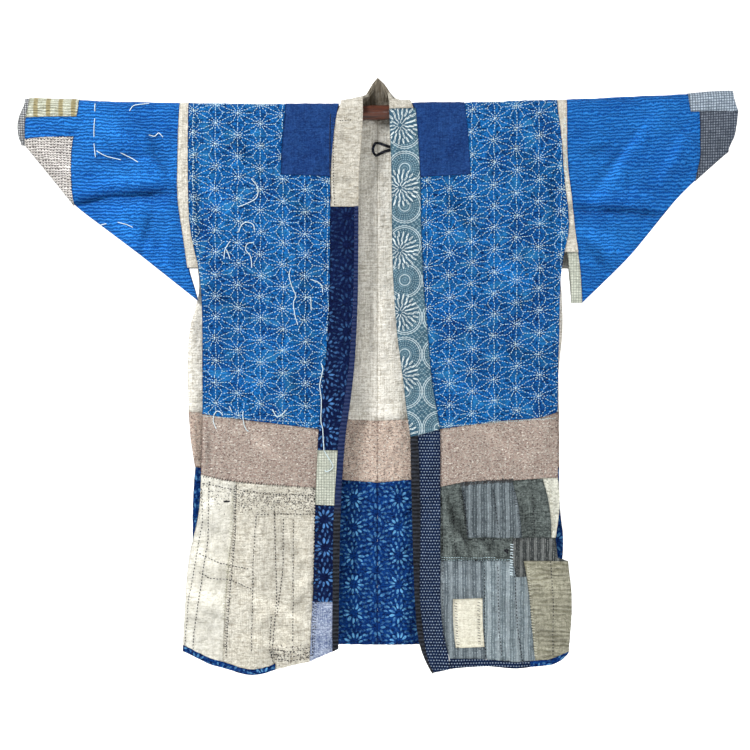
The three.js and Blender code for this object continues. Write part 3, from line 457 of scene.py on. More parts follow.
def mauve_tweed(name, base, fleck):
    f = Finish(name)
    woven(f, base, paler(base), (136, 112, 104), 0.35, 80.0, 12.0, 0.6, 0.9)
    flecks = f.spots(0.54, 0.62, 4.2, 2.6, 2.0, 0.7, 21.0)
    f.paint(flecks, 0.95, fleck)
    f.paint(f.spots(0.55, 0.63, 4.0, 2.8, 2.0, 0.7, 31.0), 0.9, (100, 78, 74))
    f.lift(flecks, 1.2)
    return f.finish((104, 82, 74))


def striped(name, base, light, dark, pitch=4.4, seed=0.0):
    """Broken pale stripes, with broader bands behind them."""
    f = Finish(name)
    woven(f, base, paler(base), dark, 0.5, 60.0, 8.0, 0.6, 1.2)
    across = f.bent(f.u, 6.0, 70.0, 60.0, 1.0, 0.5, seed)
    stripe = f.step(f.wave(across, pitch), 0.5, 0.9)
    broken = f.spots(0.4, 0.62, 1.6, 9.0, 2.0, 0.6, 8.0 + seed)
    darned = f.spots(0.4, 0.58, 3.0, 1.5, 1.0, 0.5, 14.0 + seed)
    f.paint(f.mul(f.mul(stripe, broken), darned), 0.75, light)
    f.paint(f.step(f.wave(across, pitch), 0.35, 0.05), 0.4, dark)
    f.paint(f.step(f.wave(across, pitch * 3.6, 1.0), 0.45, 0.95), 0.3, light)
    f.lift(stripe, 0.5)
    return f.finish(dark)


def taupe():
    """Taupe cloth darned across with rows of its own colour, which pull it into ridges, painted with
    shade in their hollows and highlight on their crests.
    """
    f = Finish("taupe")
    woven(f, (157, 155, 136), (174, 172, 154), (104, 102, 84), 0.6, 60.0, 9.0, 0.6, 1.2)
    ridge = f.wave(f.bent(f.v, 16.0, 30.0, 20.0, 2.0, 0.5, 1.0), 8.6)
    shows = f.spots(0.35, 0.6, 40.0, 24.0, 2.0, 0.5, 3.0)
    # Painted shade in the ridges' hollows and painted highlight on their crests
    f.paint(f.mul(f.step(ridge, 0.4, 0.0), shows), 0.55, (104, 102, 82))
    f.paint(f.mul(f.step(ridge, 0.65, 1.0), shows), 0.35, (184, 181, 164))
    f.lift(f.mul(ridge, shows), 1.8)
    return f.finish((92, 90, 72))


def checked(name, base, line, dark, pitch=4.4, strength=0.6):
    f = Finish(name)
    woven(f, base, paler(base), dark, 0.4, 60.0, 8.0)
    one, two = (f.step(f.wave(way, pitch), 0.5, 0.9) for way in (f.u, f.v))
    f.paint(one, strength, line)
    f.paint(two, strength, line)
    f.lift(f.mul(one, two), 0.5)
    return f.finish(dark)


# The dotted cloth's repeat: dots in rows, each row half a step across from the last
DOT_STEP = 4.6
DOT_ROW = 5.0


def navy_dotted():
    f = Finish("navy_dotted")
    woven(f, (9, 26, 56), (18, 38, 72), (5, 12, 34), 0.4, 60.0, 8.0)
    row = f.math("FLOOR", f.mul(f.v, 1 / DOT_ROW))
    shift = f.mul(f.math("FRACT", f.mul(row, 0.5)), DOT_STEP)
    x = f.cell(f.add(f.u, shift), DOT_STEP)
    y = f.cell(f.sub(f.v, DOT_ROW / 2), DOT_ROW)
    wobble = f.mul(f.sub(f.noise(3.0, 3.0, 1.0, 0.5, 3.0), 0.5), 1.2)
    dots = f.step(f.add(f.length(f.mul(x, 0.8), y), wobble), 1.35, 0.7)
    f.paint(dots, 0.75, (158, 176, 198))
    f.lift(dots, 0.6)
    return f.finish((12, 18, 40))


# Rings of petals in a printed flower: radius, length, width, count and turn
FLOWER_RINGS = (
    (6, 6, 1.6, 9, 0.0),
    (12, 8, 2.2, 13, 0.2),
    (19, 10, 2.8, 17, 0.1),
    (27, 10, 3.0, 23, 0.0),
)
# Radii of the lines in a printed fan
FAN_RINGS = (9.0, 25.5, 28.5)


def teal_print():
    """White flowers over fans of dotted waves, a traditional mix, in its own layout."""
    f = Finish("teal_print")
    woven(f, (64, 98, 116), (82, 116, 132), (36, 62, 82), 0.35, 50.0, 8.0)
    x = f.cell(f.sub(f.u, 48.0), 58.0)
    y = f.cell(f.add(f.v, 96.0), 62.0)
    away = f.length(x, y)
    beads = f.wave(f.mul(f.math("ARCTAN2", y, x), 14.0), 2 * math.pi / 2.2)
    f.paint(f.step(f.mul(f.wave(away, 3.6), beads), 0.3, 0.6), 0.55, (166, 190, 198))
    for radius in FAN_RINGS:
        ring = f.step(f.math("ABSOLUTE", f.sub(away, radius)), 0.8, 0.3)
        f.paint(ring, 0.8, (208, 222, 226))
    x = f.cell(f.sub(f.u, 40.0), 88.0)
    y = f.cell(f.add(f.v, 128.0), 104.0)
    outline = f.bent(f.length(x, y), 9.0, 12.0, 12.0, 1.0, 0.5, 15.0)
    f.paint(f.step(outline, 36.0, 33.0), 0.95, (56, 88, 108))
    hollow = f.sub(1.0, f.spots(0.5, 0.56, 15.0, 15.0, 1.0, 0.5, 5.0))
    for radius, length, width, count, turn in FLOWER_RINGS:
        petals = ring_of_petals(f, x, y, radius, length, width, count, turn)
        vein = ring_of_petals(f, x, y, radius, length * 0.62, width * 0.5, count, turn)
        f.paint(petals, 0.9, (222, 232, 232))
        f.paint(f.mul(vein, hollow), 0.9, (62, 96, 114))
    return f.finish((44, 70, 84))


def ribbed_black():
    """The front binding: black below, and navy above on the right front."""
    f = Finish("ribbed_black")
    woven(f, (32, 34, 38), (48, 50, 56), (12, 12, 14), 0.4, 60.0, 8.0, 0.5, 0.6)
    upper = f.mul(f.step(f.v, -680.0, -640.0), f.step(f.u, 0.0, -20.0))
    f.paint(upper, 0.75, (34, 52, 104))
    rib = f.wave(f.bent(f.v, 3.0, 9.0, 9.0, 1.0, 0.5, 4.0), 6.7)
    # Painted shade in the ribs' hollows and painted highlight on their crests
    f.paint(f.step(rib, 0.35, 0.0), 0.6, (8, 9, 14))
    f.paint(f.step(rib, 0.6, 1.0), 0.4, (70, 76, 88))
    f.lift(rib, 0.6)
    return f.finish()


def speckled():
    """Cream cloth darned with close columns of short dark stitches that slant both ways."""
    f = Finish("speckled")
    woven(f, (208, 204, 198), (220, 216, 212), (150, 142, 136), 0.4, 60.0, 8.0)
    column = f.wave(f.bent(f.u, 8.0, 30.0, 30.0, 1.0, 0.5, 3.0), 5.4)
    slanted = f.add(f.bent(f.v, 6.0, 14.0, 9.0, 1.0, 0.5, 1.0), f.mul(column, 1.9))
    rows = f.step(f.wave(slanted, 4.2), 0.45, 0.85)
    f.paint(f.mul(rows, f.step(column, 0.06, 0.3)), 0.95, (48, 44, 46))
    f.lift(rows, 1.4)
    return f.finish()


def yellow_check():
    """Soft yellow and cream checks with brown bars, darned in rows."""
    f = Finish("yellow_check")
    woven(f, (192, 197, 180), (212, 216, 202), (146, 142, 112), 0.5, 30.0, 8.0)
    f.paint(f.step(f.wave(f.u, 21.0, 2.2), 0.6, 0.85), 0.85, (150, 136, 92))
    rows = f.wave(f.bent(f.v, 5.0, 14.0, 9.0, 1.0, 0.5, 1.0), 4.6)
    # Painted shade in the hollows between the darned rows, which the relief lifts
    f.paint(f.step(rows, 0.4, 0.0), 0.45, (124, 120, 92))
    f.lift(rows, 1.2)
    return f.finish((110, 104, 76))


def beige_cotton():
    """The neck's collar: crinkled beige, with painted shade on the inside of the standing part."""
    f = Finish("beige_cotton")
    woven(f, (196, 192, 180), (210, 207, 197), (146, 138, 122), 0.5, 60.0, 9.0, 0.6, 1.3)
    cross = f.noise(26.0, 3.0, 2.0, 0.6, 17.0)
    f.paint(f.step(cross, 0.52, 0.66), 0.5, (160, 152, 136))
    # Painted shade on the inner faces of the standing part that face the viewer, a little patchy
    place = f.node("ShaderNodeTexCoord").outputs["Object"]
    y = f.node("ShaderNodeSeparateXYZ", Vector=place).outputs[1]
    facing = f.node("ShaderNodeNewGeometry").outputs["Normal"]
    towards = f.node("ShaderNodeSeparateXYZ", Vector=facing).outputs[1]
    inside = f.mul(f.step(y, 0.002, 0.008), f.step(towards, 0.1, -0.5))
    wear_and_shade = f.step(f.noise(4.0, 14.0, 2.0, 0.6, 19.0), 0.3, 0.7, 0.8, 1.0)
    f.paint(inside, wear_and_shade, (74, 66, 54))
    f.lift(cross, 1.4)
    return f.finish((150, 142, 126))


def rod_wood():
    """A peeled branch, varnished: streaks along it, knots and a low gloss."""
    f = Finish("rod_wood")
    grain = f.noise(60.0, 2.5, 4.0, 0.6, 1.0)
    f.colour = f.mix(f.step(grain, 0.35, 0.65), (48, 22, 14), (100, 52, 32))
    f.paint(f.spots(0.6, 0.72, 16.0, 9.0, 2.0, 0.5, 6.0), 0.75, (58, 28, 18))
    f.relief = f.mul(grain, 0.6)
    return f.finish(rough=0.32, sheen=0.0, gloss=0.5)


def thread(name, colour, slot):
    """A sewing thread's finish, with the name of a slot."""
    f = Finish(name)
    place = f.node("ShaderNodeTexCoord").outputs["Object"]
    twist = f.node("ShaderNodeTexNoise", Vector=place, Scale=900.0).outputs[0]
    # Painted shade in the hollows of the thread's twist, which the relief also follows
    f.colour = f.mix(twist, tuple(int(0.86 * c) for c in colour), colour)
    f.relief = f.mul(twist, 0.2)
    return f.finish(rough=0.85, sheen=0.1), slot


# Base, light and dark colour, then what woven takes
PLAIN = {
    "navy_cotton": ((22, 54, 110), (34, 70, 128), (12, 32, 78), 0.5, 40.0),
    "linen": ((236, 233, 221), (246, 243, 234), (164, 156, 140), 0.7, 110.0, 12.0),
    "cream_cotton": ((226, 223, 211), (238, 236, 226), (184, 180, 164), 0.3, 90.0, 9.0, 0.35, 1.1),
    "grey_cream": ((210, 206, 192), (224, 221, 209), (152, 144, 128), 0.6, 90.0, 9.0, 0.6, 1.3),
    "grey_green": ((86, 94, 92), (112, 121, 118), (50, 56, 56), 0.8, 40.0, 9.0, 0.8, 1.8),
    "pale_cream": ((232, 228, 208), (242, 239, 224), (196, 190, 168), 0.5),
    "chambray": ((112, 130, 162), (188, 198, 216), (70, 84, 126), 0.6, 30.0, 3.0, 0.9),
    "tape": ((202, 198, 186), (220, 217, 207), (150, 142, 126), 0.6, 50.0),
    "cream_side": ((220, 220, 207), (232, 232, 220), (160, 160, 146), 0.5, 40.0, 9.0, 0.6, 1.8),
}
# Base, stripe and dark colour, then the stripes' pitch and a seed
STRIPED = {
    "grey_stripe": ((104, 115, 121), (186, 198, 204), (66, 76, 84)),
    "charcoal": ((68, 72, 72), (168, 172, 170), (40, 44, 46), 3.4, 3.0),
    "stripe_middle": ((124, 138, 144), (204, 216, 222), (80, 92, 98)),
    "stripe_patch": ((90, 100, 104), (172, 184, 190), (50, 58, 66), 4.4, 5.0),
}
# Base, line and dark colour, then the lines' pitch and strength
CHECKED = {
    "small_check": ((206, 210, 196), (148, 154, 142), (150, 152, 138)),
    "grey_check": ((184, 198, 212), (92, 106, 120), (90, 100, 112), 4.4, 0.8),
    "dark_check": ((122, 131, 144), (50, 57, 70), (46, 52, 64), 4.2, 0.85),
    "cuff_edge": ((186, 188, 190), (70, 72, 76), (60, 62, 66), 3.8, 0.85),
}
# Base colour and flecks
TWEEDS = {
    "mauve_tweed": ((168, 154, 143), (242, 234, 223)),
    # Painted light: a paler copy of the mauve tweed for the linings, which hang in shade
    "mauve_lining": ((208, 188, 172), (250, 242, 230)),
}
# Every slot's finish, and some pieces' own ones
FINISHES = {
    "blue_sashiko": blue_sashiko(),
    "sleeve_blue": sleeve_ripple(),
    "indigo_stencil": indigo_stencil(),
    "beige_cotton": beige_cotton(),
    "blue_stencil": blue_stencil(),
    "taupe": taupe(),
    "teal_print": teal_print(),
    "navy_dotted": navy_dotted(),
    "ribbed_black": ribbed_black(),
    "yellow_check": yellow_check(),
    "speckled": speckled(),
    "rod_wood": rod_wood(),
}
for cloth, table in ((plain, PLAIN), (striped, STRIPED), (checked, CHECKED), (mauve_tweed, TWEEDS)):
    FINISHES.update({name: cloth(name, *values) for name, values in table.items()})

WHITE_THREAD = thread("white_thread", (230, 248, 255), "pale_cream")
PALE_THREAD = thread("pale_blue_thread", (214, 246, 255), "pale_cream")
CREAM_THREAD = thread("cream_thread", (222, 220, 200), "pale_cream")
DARK_THREAD = thread("dark_thread", (30, 30, 38), "ribbed_black")
GREY_THREAD = thread("grey_thread", (78, 76, 76), "ribbed_black")

# Pieces whose cloth is a paler or darker length than the rest of its slot; the mauve linings' paler
# copy is painted light, lifting them out of the shade inside the garment
OWN_FINISHES = {
    "skirt_stripe_middle": "stripe_middle",
    "skirt_cream_side": "cream_side",
    "lining_mauve_right": "mauve_lining",
    "lining_mauve_left": "mauve_lining",
    "patch_stripe": "stripe_patch",
    "cuff_facing_right": "cuff_edge",
}
SLOTS = {part["node"]: part["material_slot"] for part in frame["record"]["subparts"]}


# Creases

# Each from x, z to x, z, then its half width and its height towards the viewer, in millimetres,
# seen from the front
FRONT_CREASES = (
    # right sleeve: a pulled band under the arm and folds that run out of it
    (-512, -156, -440, -138, 6, -8.4), (-448, -140, -336, -134, 6, -9.6),
    (-512, -136, -345, -112, 13, 6.7), (-470, -172, -352, -160, 12, 5.3),
    (-438, -182, -352, -258, 12, 6.5), (-368, -150, -402, -262, 7, -5.3),
    (-352, -206, -345, -262, 8, 4.8), (-470, -84, -350, -66, 8, -3.8),
    (-380, -30, -345, -122, 10, -5.0), (-455, -20, -400, -60, 11, 3.8),
    (-400, -74, -348, -104, 10, 4.1), (-560, -60, -500, -110, 10, 3.1),
    # left sleeve
    (330, -160, 488, -170, 6, -8.4), (338, -142, 474, -150, 12, 5.8), (470, 4, 376, -148, 14, 7.0),
    (452, -10, 362, -130, 8, -4.8), (350, -200, 430, -238, 10, 5.3), (352, -220, 400, -270, 8, -4.8),
    (400, -56, 350, -72, 8, -4.1), (522, -36, 470, -124, 10, 4.8),
    # right front
    (-160, -120, -100, -190, 10, -5.4), (-290, -120, -236, -172, 12, 5.4),
    (-276, -296, -215, -344, 11, -5.4), (-210, -376, -126, -404, 10, 4.8),
    (-290, -426, -196, -466, 11, 5.1), (-148, -436, -106, -504, 9, -4.8),
    (-300, -60, -296, -260, 7, -4.4), (-250, -30, -190, -100, 12, -3.7),
    (-120, -240, -108, -420, 8, -3.4),
    # left front
    (116, -136, 176, -204, 10, -5.4), (196, -256, 266, -294, 11, 5.1), (96, -326, 166, -354, 10, 4.4),
    (214, -396, 298, -424, 11, -5.1), (126, -456, 206, -484, 10, 4.8), (300, -80, 296, -240, 7, -4.4),
    (230, -60, 290, -120, 12, -3.7),
    # mauve bands
    (-278, -524, -280, -606, 5, -3.7), (-210, -540, -150, -590, 9, 3.1), (180, -530, 250, -590, 9, 3.1),
    # left skirt: pulled folds of the grey-green cloth, and the patches
    (113, -632, 130, -752, 5, 5.4), (122, -648, 160, -744, 5, -5.8), (140, -712, 172, -750, 6, 5.4),
    (186, -720, 208, -740, 6, -3.7), (120, -780, 190, -800, 8, 3.4), (210, -790, 230, -880, 7, -3.1),
    (250, -770, 310, -800, 9, 3.7), (256, -860, 320, -890, 9, -3.4),
    # right skirt
    (-306, -740, -240, -762, 9, 5.1), (-320, -800, -250, -830, 9, 5.1),
    (-320, -850, -262, -868, 8, -4.4), (-300, -690, -258, -704, 8, -3.7),
    (-226, -800, -170, -840, 8, 4.1), (-190, -820, -110, -860, 9, 5.1),
    (-160, -720, -116, -760, 8, -3.7), (-220, -880, -120, -906, 8, 4.1),
    # finer folds of both skirts
    (109, -668, 155, -747, 6, 6.0), (118, -660, 164, -742, 5, -6.0), (162, -712, 190, -745, 6, 5.0),
    (170, -712, 200, -742, 5, -4.0), (107, -777, 132, -798, 6, 4.0), (111, -743, 136, -756, 6, 3.4),
    (-107, -777, -132, -798, 6, 4.4), (-111, -743, -136, -756, 6, 3.8),
    (-111, -810, -145, -836, 7, -4.4), (-174, -836, -203, -852, 6, 3.8),
    (-250, -815, -287, -802, 6, 3.8), (-250, -852, -292, -836, 6, -3.8),
    (-229, -794, -208, -814, 6, -3.6), (-128, -886, -166, -869, 6, 4.0),
    (-290, -660, -262, -650, 6, 3.4),
    # folds that the darning pulls into the left skirt
    (112, -640, 136, -735, 3.2, 3.6), (122, -640, 147, -728, 3.2, 3.4),
    (118, -636, 128, -700, 2.8, -3.0), (134, -690, 155, -732, 3.0, 3.0),
    (168, -712, 196, -742, 3.4, 3.0), (178, -708, 214, -734, 3.0, -2.6),
    (236, -650, 262, -700, 3.6, -2.6), (248, -640, 278, -690, 3.6, 2.6),
    (168, -664, 210, -656, 3.6, 2.4), (160, -690, 222, -684, 3.4, -2.2),
    (190, -800, 226, -812, 4.0, 2.6), (188, -836, 240, -824, 4.0, -2.6),
    (196, -880, 246, -874, 4.0, 2.4), (120, -770, 170, -762, 3.6, 2.2),
    # crinkles across the cream skirt
    (-296, -730, -254, -724, 3.4, 2.6), (-300, -752, -262, -744, 3.2, -2.6),
    (-246, -712, -212, -722, 3.4, 2.4), (-240, -738, -214, -742, 3.0, -2.4),
    (-300, -862, -262, -870, 3.6, 2.6), (-302, -884, -268, -880, 3.2, -2.4),
    (-196, -700, -176, -736, 3.0, 2.2), (-160, -760, -144, -806, 3.0, -2.2),
    (-132, -700, -112, -742, 3.2, 2.2),
    # wrinkles in the blue body
    (-286, -60, -246, -84, 3.6, -2.4), (-262, -96, -208, -82, 3.4, 2.2),
    (-232, -150, -196, -182, 3.6, -2.4), (-166, -170, -112, -156, 3.4, 2.4),
    (-180, -236, -128, -262, 3.4, -2.4), (-264, -270, -214, -258, 3.6, 2.4),
    (-250, -318, -190, -338, 3.4, -2.2), (-150, -330, -104, -352, 3.4, 2.2),
    (-268, -400, -204, -384, 3.6, 2.4), (-176, -420, -116, -404, 3.4, -2.4),
    (-240, -460, -188, -474, 3.4, 2.2), (118, -140, 176, -158, 3.6, -2.4),
    (196, -70, 244, -92, 3.4, 2.4), (246, -150, 296, -132, 3.4, -2.4), (140, -224, 200, -210, 3.6, 2.4),
    (228, -236, 284, -258, 3.4, -2.2), (124, -300, 172, -322, 3.4, 2.2),
    (206, -330, 268, -314, 3.6, -2.4), (150, -396, 204, -410, 3.4, 2.4),
    (240, -420, 296, -404, 3.4, -2.2), (128, -470, 190, -458, 3.4, 2.2),
    # neck collar and back lining
    (-70, -40, -34, -52, 5, -2.7), (-74, -110, -36, -118, 5, -3.1), (4, -78, 26, -88, 5, -4.4),
    (-8, -120, 30, -150, 6, 3.4), (-15, -100, -15, -470, 5, 2.7), (-40, -560, 30, -600, 9, 3.7),
    (-46, -530, 0, -556, 9, -3.4),
)
# The same kind of creases on the hidden back
BACK_CREASES = (
    (-505, -148, -345, -130, 9, -4.0), (-440, -180, -356, -246, 12, 3.8),
    (345, -150, 490, -164, 9, -3.8), (462, 0, 380, -140, 14, 3.6), (-230, -90, -120, -180, 13, 3.0),
    (120, -120, 240, -200, 13, -3.0), (-290, -330, -180, -400, 12, 3.0), (60, -300, 180, -380, 12, 3.0),
    (200, -420, 300, -470, 11, -3.0), (-120, -430, -30, -490, 11, -2.8),
    (-250, -540, -160, -590, 10, 2.2), (90, -530, 190, -590, 10, -2.2),
    (-300, -700, -210, -760, 17, 1.5), (-160, -780, -60, -850, 18, -1.5),
    (60, -700, 160, -760, 18, 1.5), (200, -800, 300, -860, 17, 1.5), (-16, -60, -14, -600, 6, 1.6),
)


def from_line(line, x, z):
    """How far along a line places lie, from 0 to 1, and how far off it, in millimetres."""
    ax, az, bx, bz = line
    dx, dz = bx - ax, bz - az
    t = np.clip(((x * 1000 - ax) * dx + (z * 1000 - az) * dz) / (dx * dx + dz * dz), 0, 1)
    return t, np.hypot(x * 1000 - ax - dx * t, z * 1000 - az - dz * t)


def crease_height(creases, x, z):
    total = np.zeros_like(x)
    for *line, width, height in creases:
        t, off = from_line(line, x, z)
        total += height * np.sin(np.pi * np.clip(t, 0.03, 0.97)) ** 0.5 * np.exp(-((off / width) ** 2))
    return total * MM


# Rows of stitches draw the cloth in: half width and depth of the trough along each, in millimetres
ROW_TROUGH = (5.0, 1.3)


def row_troughs(rows, x, z):
    nearest = np.full_like(x, 1e3)
    for row in rows:
        for a, b in zip(row, row[1:]):
            nearest = np.minimum(nearest, from_line(a + b, x, z)[1])
    return -np.exp(-((nearest / ROW_TROUGH[0]) ** 2)) * ROW_TROUGH[1] * MM


# Puckers: sums of waves that run every way, the same on every piece so that neighbours agree


def random_waves(seed, count, shortest, longest):
    draw = random.Random(seed)
    waves = []
    for _ in range(count):
        turn = draw.uniform(0, math.pi)
        k = 2 * math.pi / draw.uniform(shortest, longest)
        waves.append((k * math.cos(turn), k * math.sin(turn), draw.uniform(0, 6.28)))
    return waves


BROAD = random_waves(3, 14, 0.045, 0.12)
MIDDLE = random_waves(5, 18, 0.016, 0.034)
FINE = random_waves(8, 18, 0.009, 0.015)


def rolling(waves, u, v):
    """The waves' sum at places on the cloth."""
    total = np.zeros_like(u)
    for a, b, phase in waves:
        total += np.sin(a * u + b * v + phase)
    return total / math.sqrt(len(waves))


# Cloth shells made from merged copies of the model's pieces


def lay_of(points):
    """Where points lie on the cloth: across, along it over the rod, and the way out of it."""
    x, y, z = points.T
    axis = rod_height(x)
    over = z > axis
    front = y < 0
    drop = z - axis * smooth(1 + z / SETTLE)
    hung = np.where(front, drop, ARC_LENGTH - drop)
    along = np.where(over, ARC_RADIUS * np.arctan2(z - axis, -y), hung)
    out = np.zeros_like(points)
    away = np.maximum(np.hypot(y, z - axis), 1e-6)
    out[:, 1] = np.where(over, y / away, np.where(front, -1.0, 1.0))
    out[:, 2] = np.where(over, (z - axis) / away, 0.0)
    return x, along, out


# Points closer than this are one, and how bent and skewed two joined triangles may be
MERGE_DISTANCE = 2e-5
QUAD_BEND = math.radians(40)
QUAD_SKEW = math.radians(70)


def merged_copy(node, name):
    """A copy of a node with its loose triangles joined to quads, at the origin."""
    source = frame["nodes"][node]
    piece = bpy.data.objects.new(name, source.data.copy())
    piece.data.materials.clear()
    bpy.context.scene.collection.objects.link(piece)
    only(piece)
    bpy.ops.object.mode_set(mode="EDIT")
    bpy.ops.mesh.select_all(action="SELECT")
    bpy.ops.mesh.remove_doubles(threshold=MERGE_DISTANCE)
    bpy.ops.mesh.tris_convert_to_quads(face_threshold=QUAD_BEND, shape_threshold=QUAD_SKEW)
    bpy.ops.object.mode_set(mode="OBJECT")
    return piece


# A panel's outline is where its faces turn more than this, and it is marked off in short steps
RIM_ANGLE = math.radians(48)
RIM_STEP = 0.003


def crease_rims(piece):
    """Keeps a panel's outline sharp under subdivision, and gives back points along it."""
    mesh = bmesh.new()
    mesh.from_mesh(piece.data)
    layer = mesh.edges.layers.float.new("crease_edge")
    points = []
    for edge in mesh.edges:
        if len(edge.link_faces) == 2 and edge.calc_face_angle(0.0) > RIM_ANGLE:
            edge[layer] = 1.0
            a, b = edge.verts
            steps = max(1, int(edge.calc_length() / RIM_STEP))
            points += [a.co.lerp(b.co, k / steps) for k in range(steps)]
    mesh.to_mesh(piece.data)
    mesh.free()
    return points


def subdivide(piece, levels):
    only(piece)
    modifier = piece.modifiers.new("subdivide", "SUBSURF")
    modifier.levels = modifier.render_levels = levels
    bpy.ops.object.modifier_apply(modifier=modifier.name)


def set_lay(mesh, u, v, rim, fold):
    """Stores each point's place on the cloth, its distance to the rim and its fold's height, in mm."""
    lay = mesh.attributes.new("lay", "FLOAT_VECTOR", "POINT")
    lay.data.foreach_set("vector", (np.stack([u, v, rim], axis=1) / MM).ravel())
    height = mesh.attributes.new("fold", "FLOAT", "POINT")
    height.data.foreach_set("value", fold / MM)
    mesh.update()

# Edges that are drawn up under their neighbour: level, amount and reach, in metres
DRAWN_EDGES = {
    "lining_linen_right": (-0.024, 0.0150, 0.020),
    "lining_linen_left": (-0.024, 0.0150, 0.020),
    "collar_left_print": (-0.001, 0.0048, 0.012),
}
# Heights of the puckers, and of those beside a seam with their reach from it, in metres
BROAD_HEIGHT = 0.0014
MIDDLE_HEIGHT = 0.0008
FINE_HEIGHT = 0.00036
SEAM_HEIGHT = 0.00045
SEAM_REACH = 0.009
DARNED_HEIGHT = 0.0007
# Cloth near the rod moves this much less, down to a depth
HELD = 0.3
HELD_DEPTH = 0.05
# How a sheet's rim sinks and draws in, with the reach of each, and how straight its face must look out
SINK = 0.0007
SINK_REACH = 0.0035
CLOSING = 0.00042
CLOSING_REACH = 0.0012
FACING = 0.35
LINING_SHIFT = 0.0010
# The ribbed bindings
RIBBED = ("collar_binding_right", "collar_binding_left")
RIB_HEIGHT = 0.0004
RIB_PITCH = 0.0067


def fading(distance, reach):
    """A bell curve: 1 at no distance, nearly 0 past the reach."""
    return np.exp(-((distance / reach) ** 2))


def shape_cloth(piece, node, rim_points, pucker):
    """Creases, puckers and rolled edges, and the lay attribute that the finishes read."""
    points = coordinates(piece.data)
    normals = coordinates(piece.data, "normal")
    tree = kdtree.KDTree(len(rim_points))
    for k, p in enumerate(rim_points):
        tree.insert(p, k)
    tree.balance()
    rim = np.array([tree.find(p)[2] for p in points])
    u, v, out = lay_of(points)
    if node in DRAWN_EDGES:
        level, amount, reach = DRAWN_EDGES[node]
        points[:, 2] += amount * fading(points[:, 2] - level, reach)
    free = HELD + (1 - HELD) * smooth(-points[:, 2] / HELD_DEPTH)
    rise = rolling(BROAD, u, v) * BROAD_HEIGHT + rolling(MIDDLE, u, v) * MIDDLE_HEIGHT * pucker
    rise += rolling(FINE, u, v) * FINE_HEIGHT * pucker
    rise += rolling(FINE, u, v) * SEAM_HEIGHT * np.exp(-rim / SEAM_REACH) * pucker
    front = points[:, 1] < 0
    across, level = points[:, 0], points[:, 2]
    creased = (crease_height(creases, across, level) for creases in (FRONT_CREASES, BACK_CREASES))
    fold = np.where(front, *creased)
    if node.startswith(("skirt", "patch")):
        fold += row_troughs(RIGHT_SKIRT_ROWS + LEFT_SKIRT_ROWS, across, level)
        rise += rolling(MIDDLE, u * 0.8, v * 1.6) * DARNED_HEIGHT
    rise += fold
    moved = points + out * (rise * free)[:, None]
    facing = (normals * out).sum(axis=1)
    flat = facing > FACING
    moved -= out * np.where(flat, fading(rim, SINK_REACH) * SINK, 0.0)[:, None]
    sideways = normals - out * facing[:, None]
    moved += sideways * (fading(rim, CLOSING_REACH) * CLOSING)[:, None]
    if node.startswith("lining"):
        moved[:, 1] -= LINING_SHIFT
    if node in RIBBED:
        wave = np.sin(v * 2 * math.pi / RIB_PITCH) * RIB_HEIGHT
        moved += normals * (wave * np.where(flat, 1.0, 0.3))[:, None]
    piece.data.vertices.foreach_set("co", moved.ravel())
    set_lay(piece.data, u, v, rim, fold)


def add_cloth(node, levels, width, length, area, pucker):
    """One sewn piece: a shell on its solid's form. The size it was cut to is not used."""
    piece = merged_copy(node, node + "_cloth")
    rim_points = crease_rims(piece)
    subdivide(piece, levels)
    shape_cloth(piece, node, rim_points, pucker)
    slot = SLOTS[node]
    dress(piece, FINISHES[OWN_FINISHES.get(node, slot)], slot, SHARP)
    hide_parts(node)
    return piece


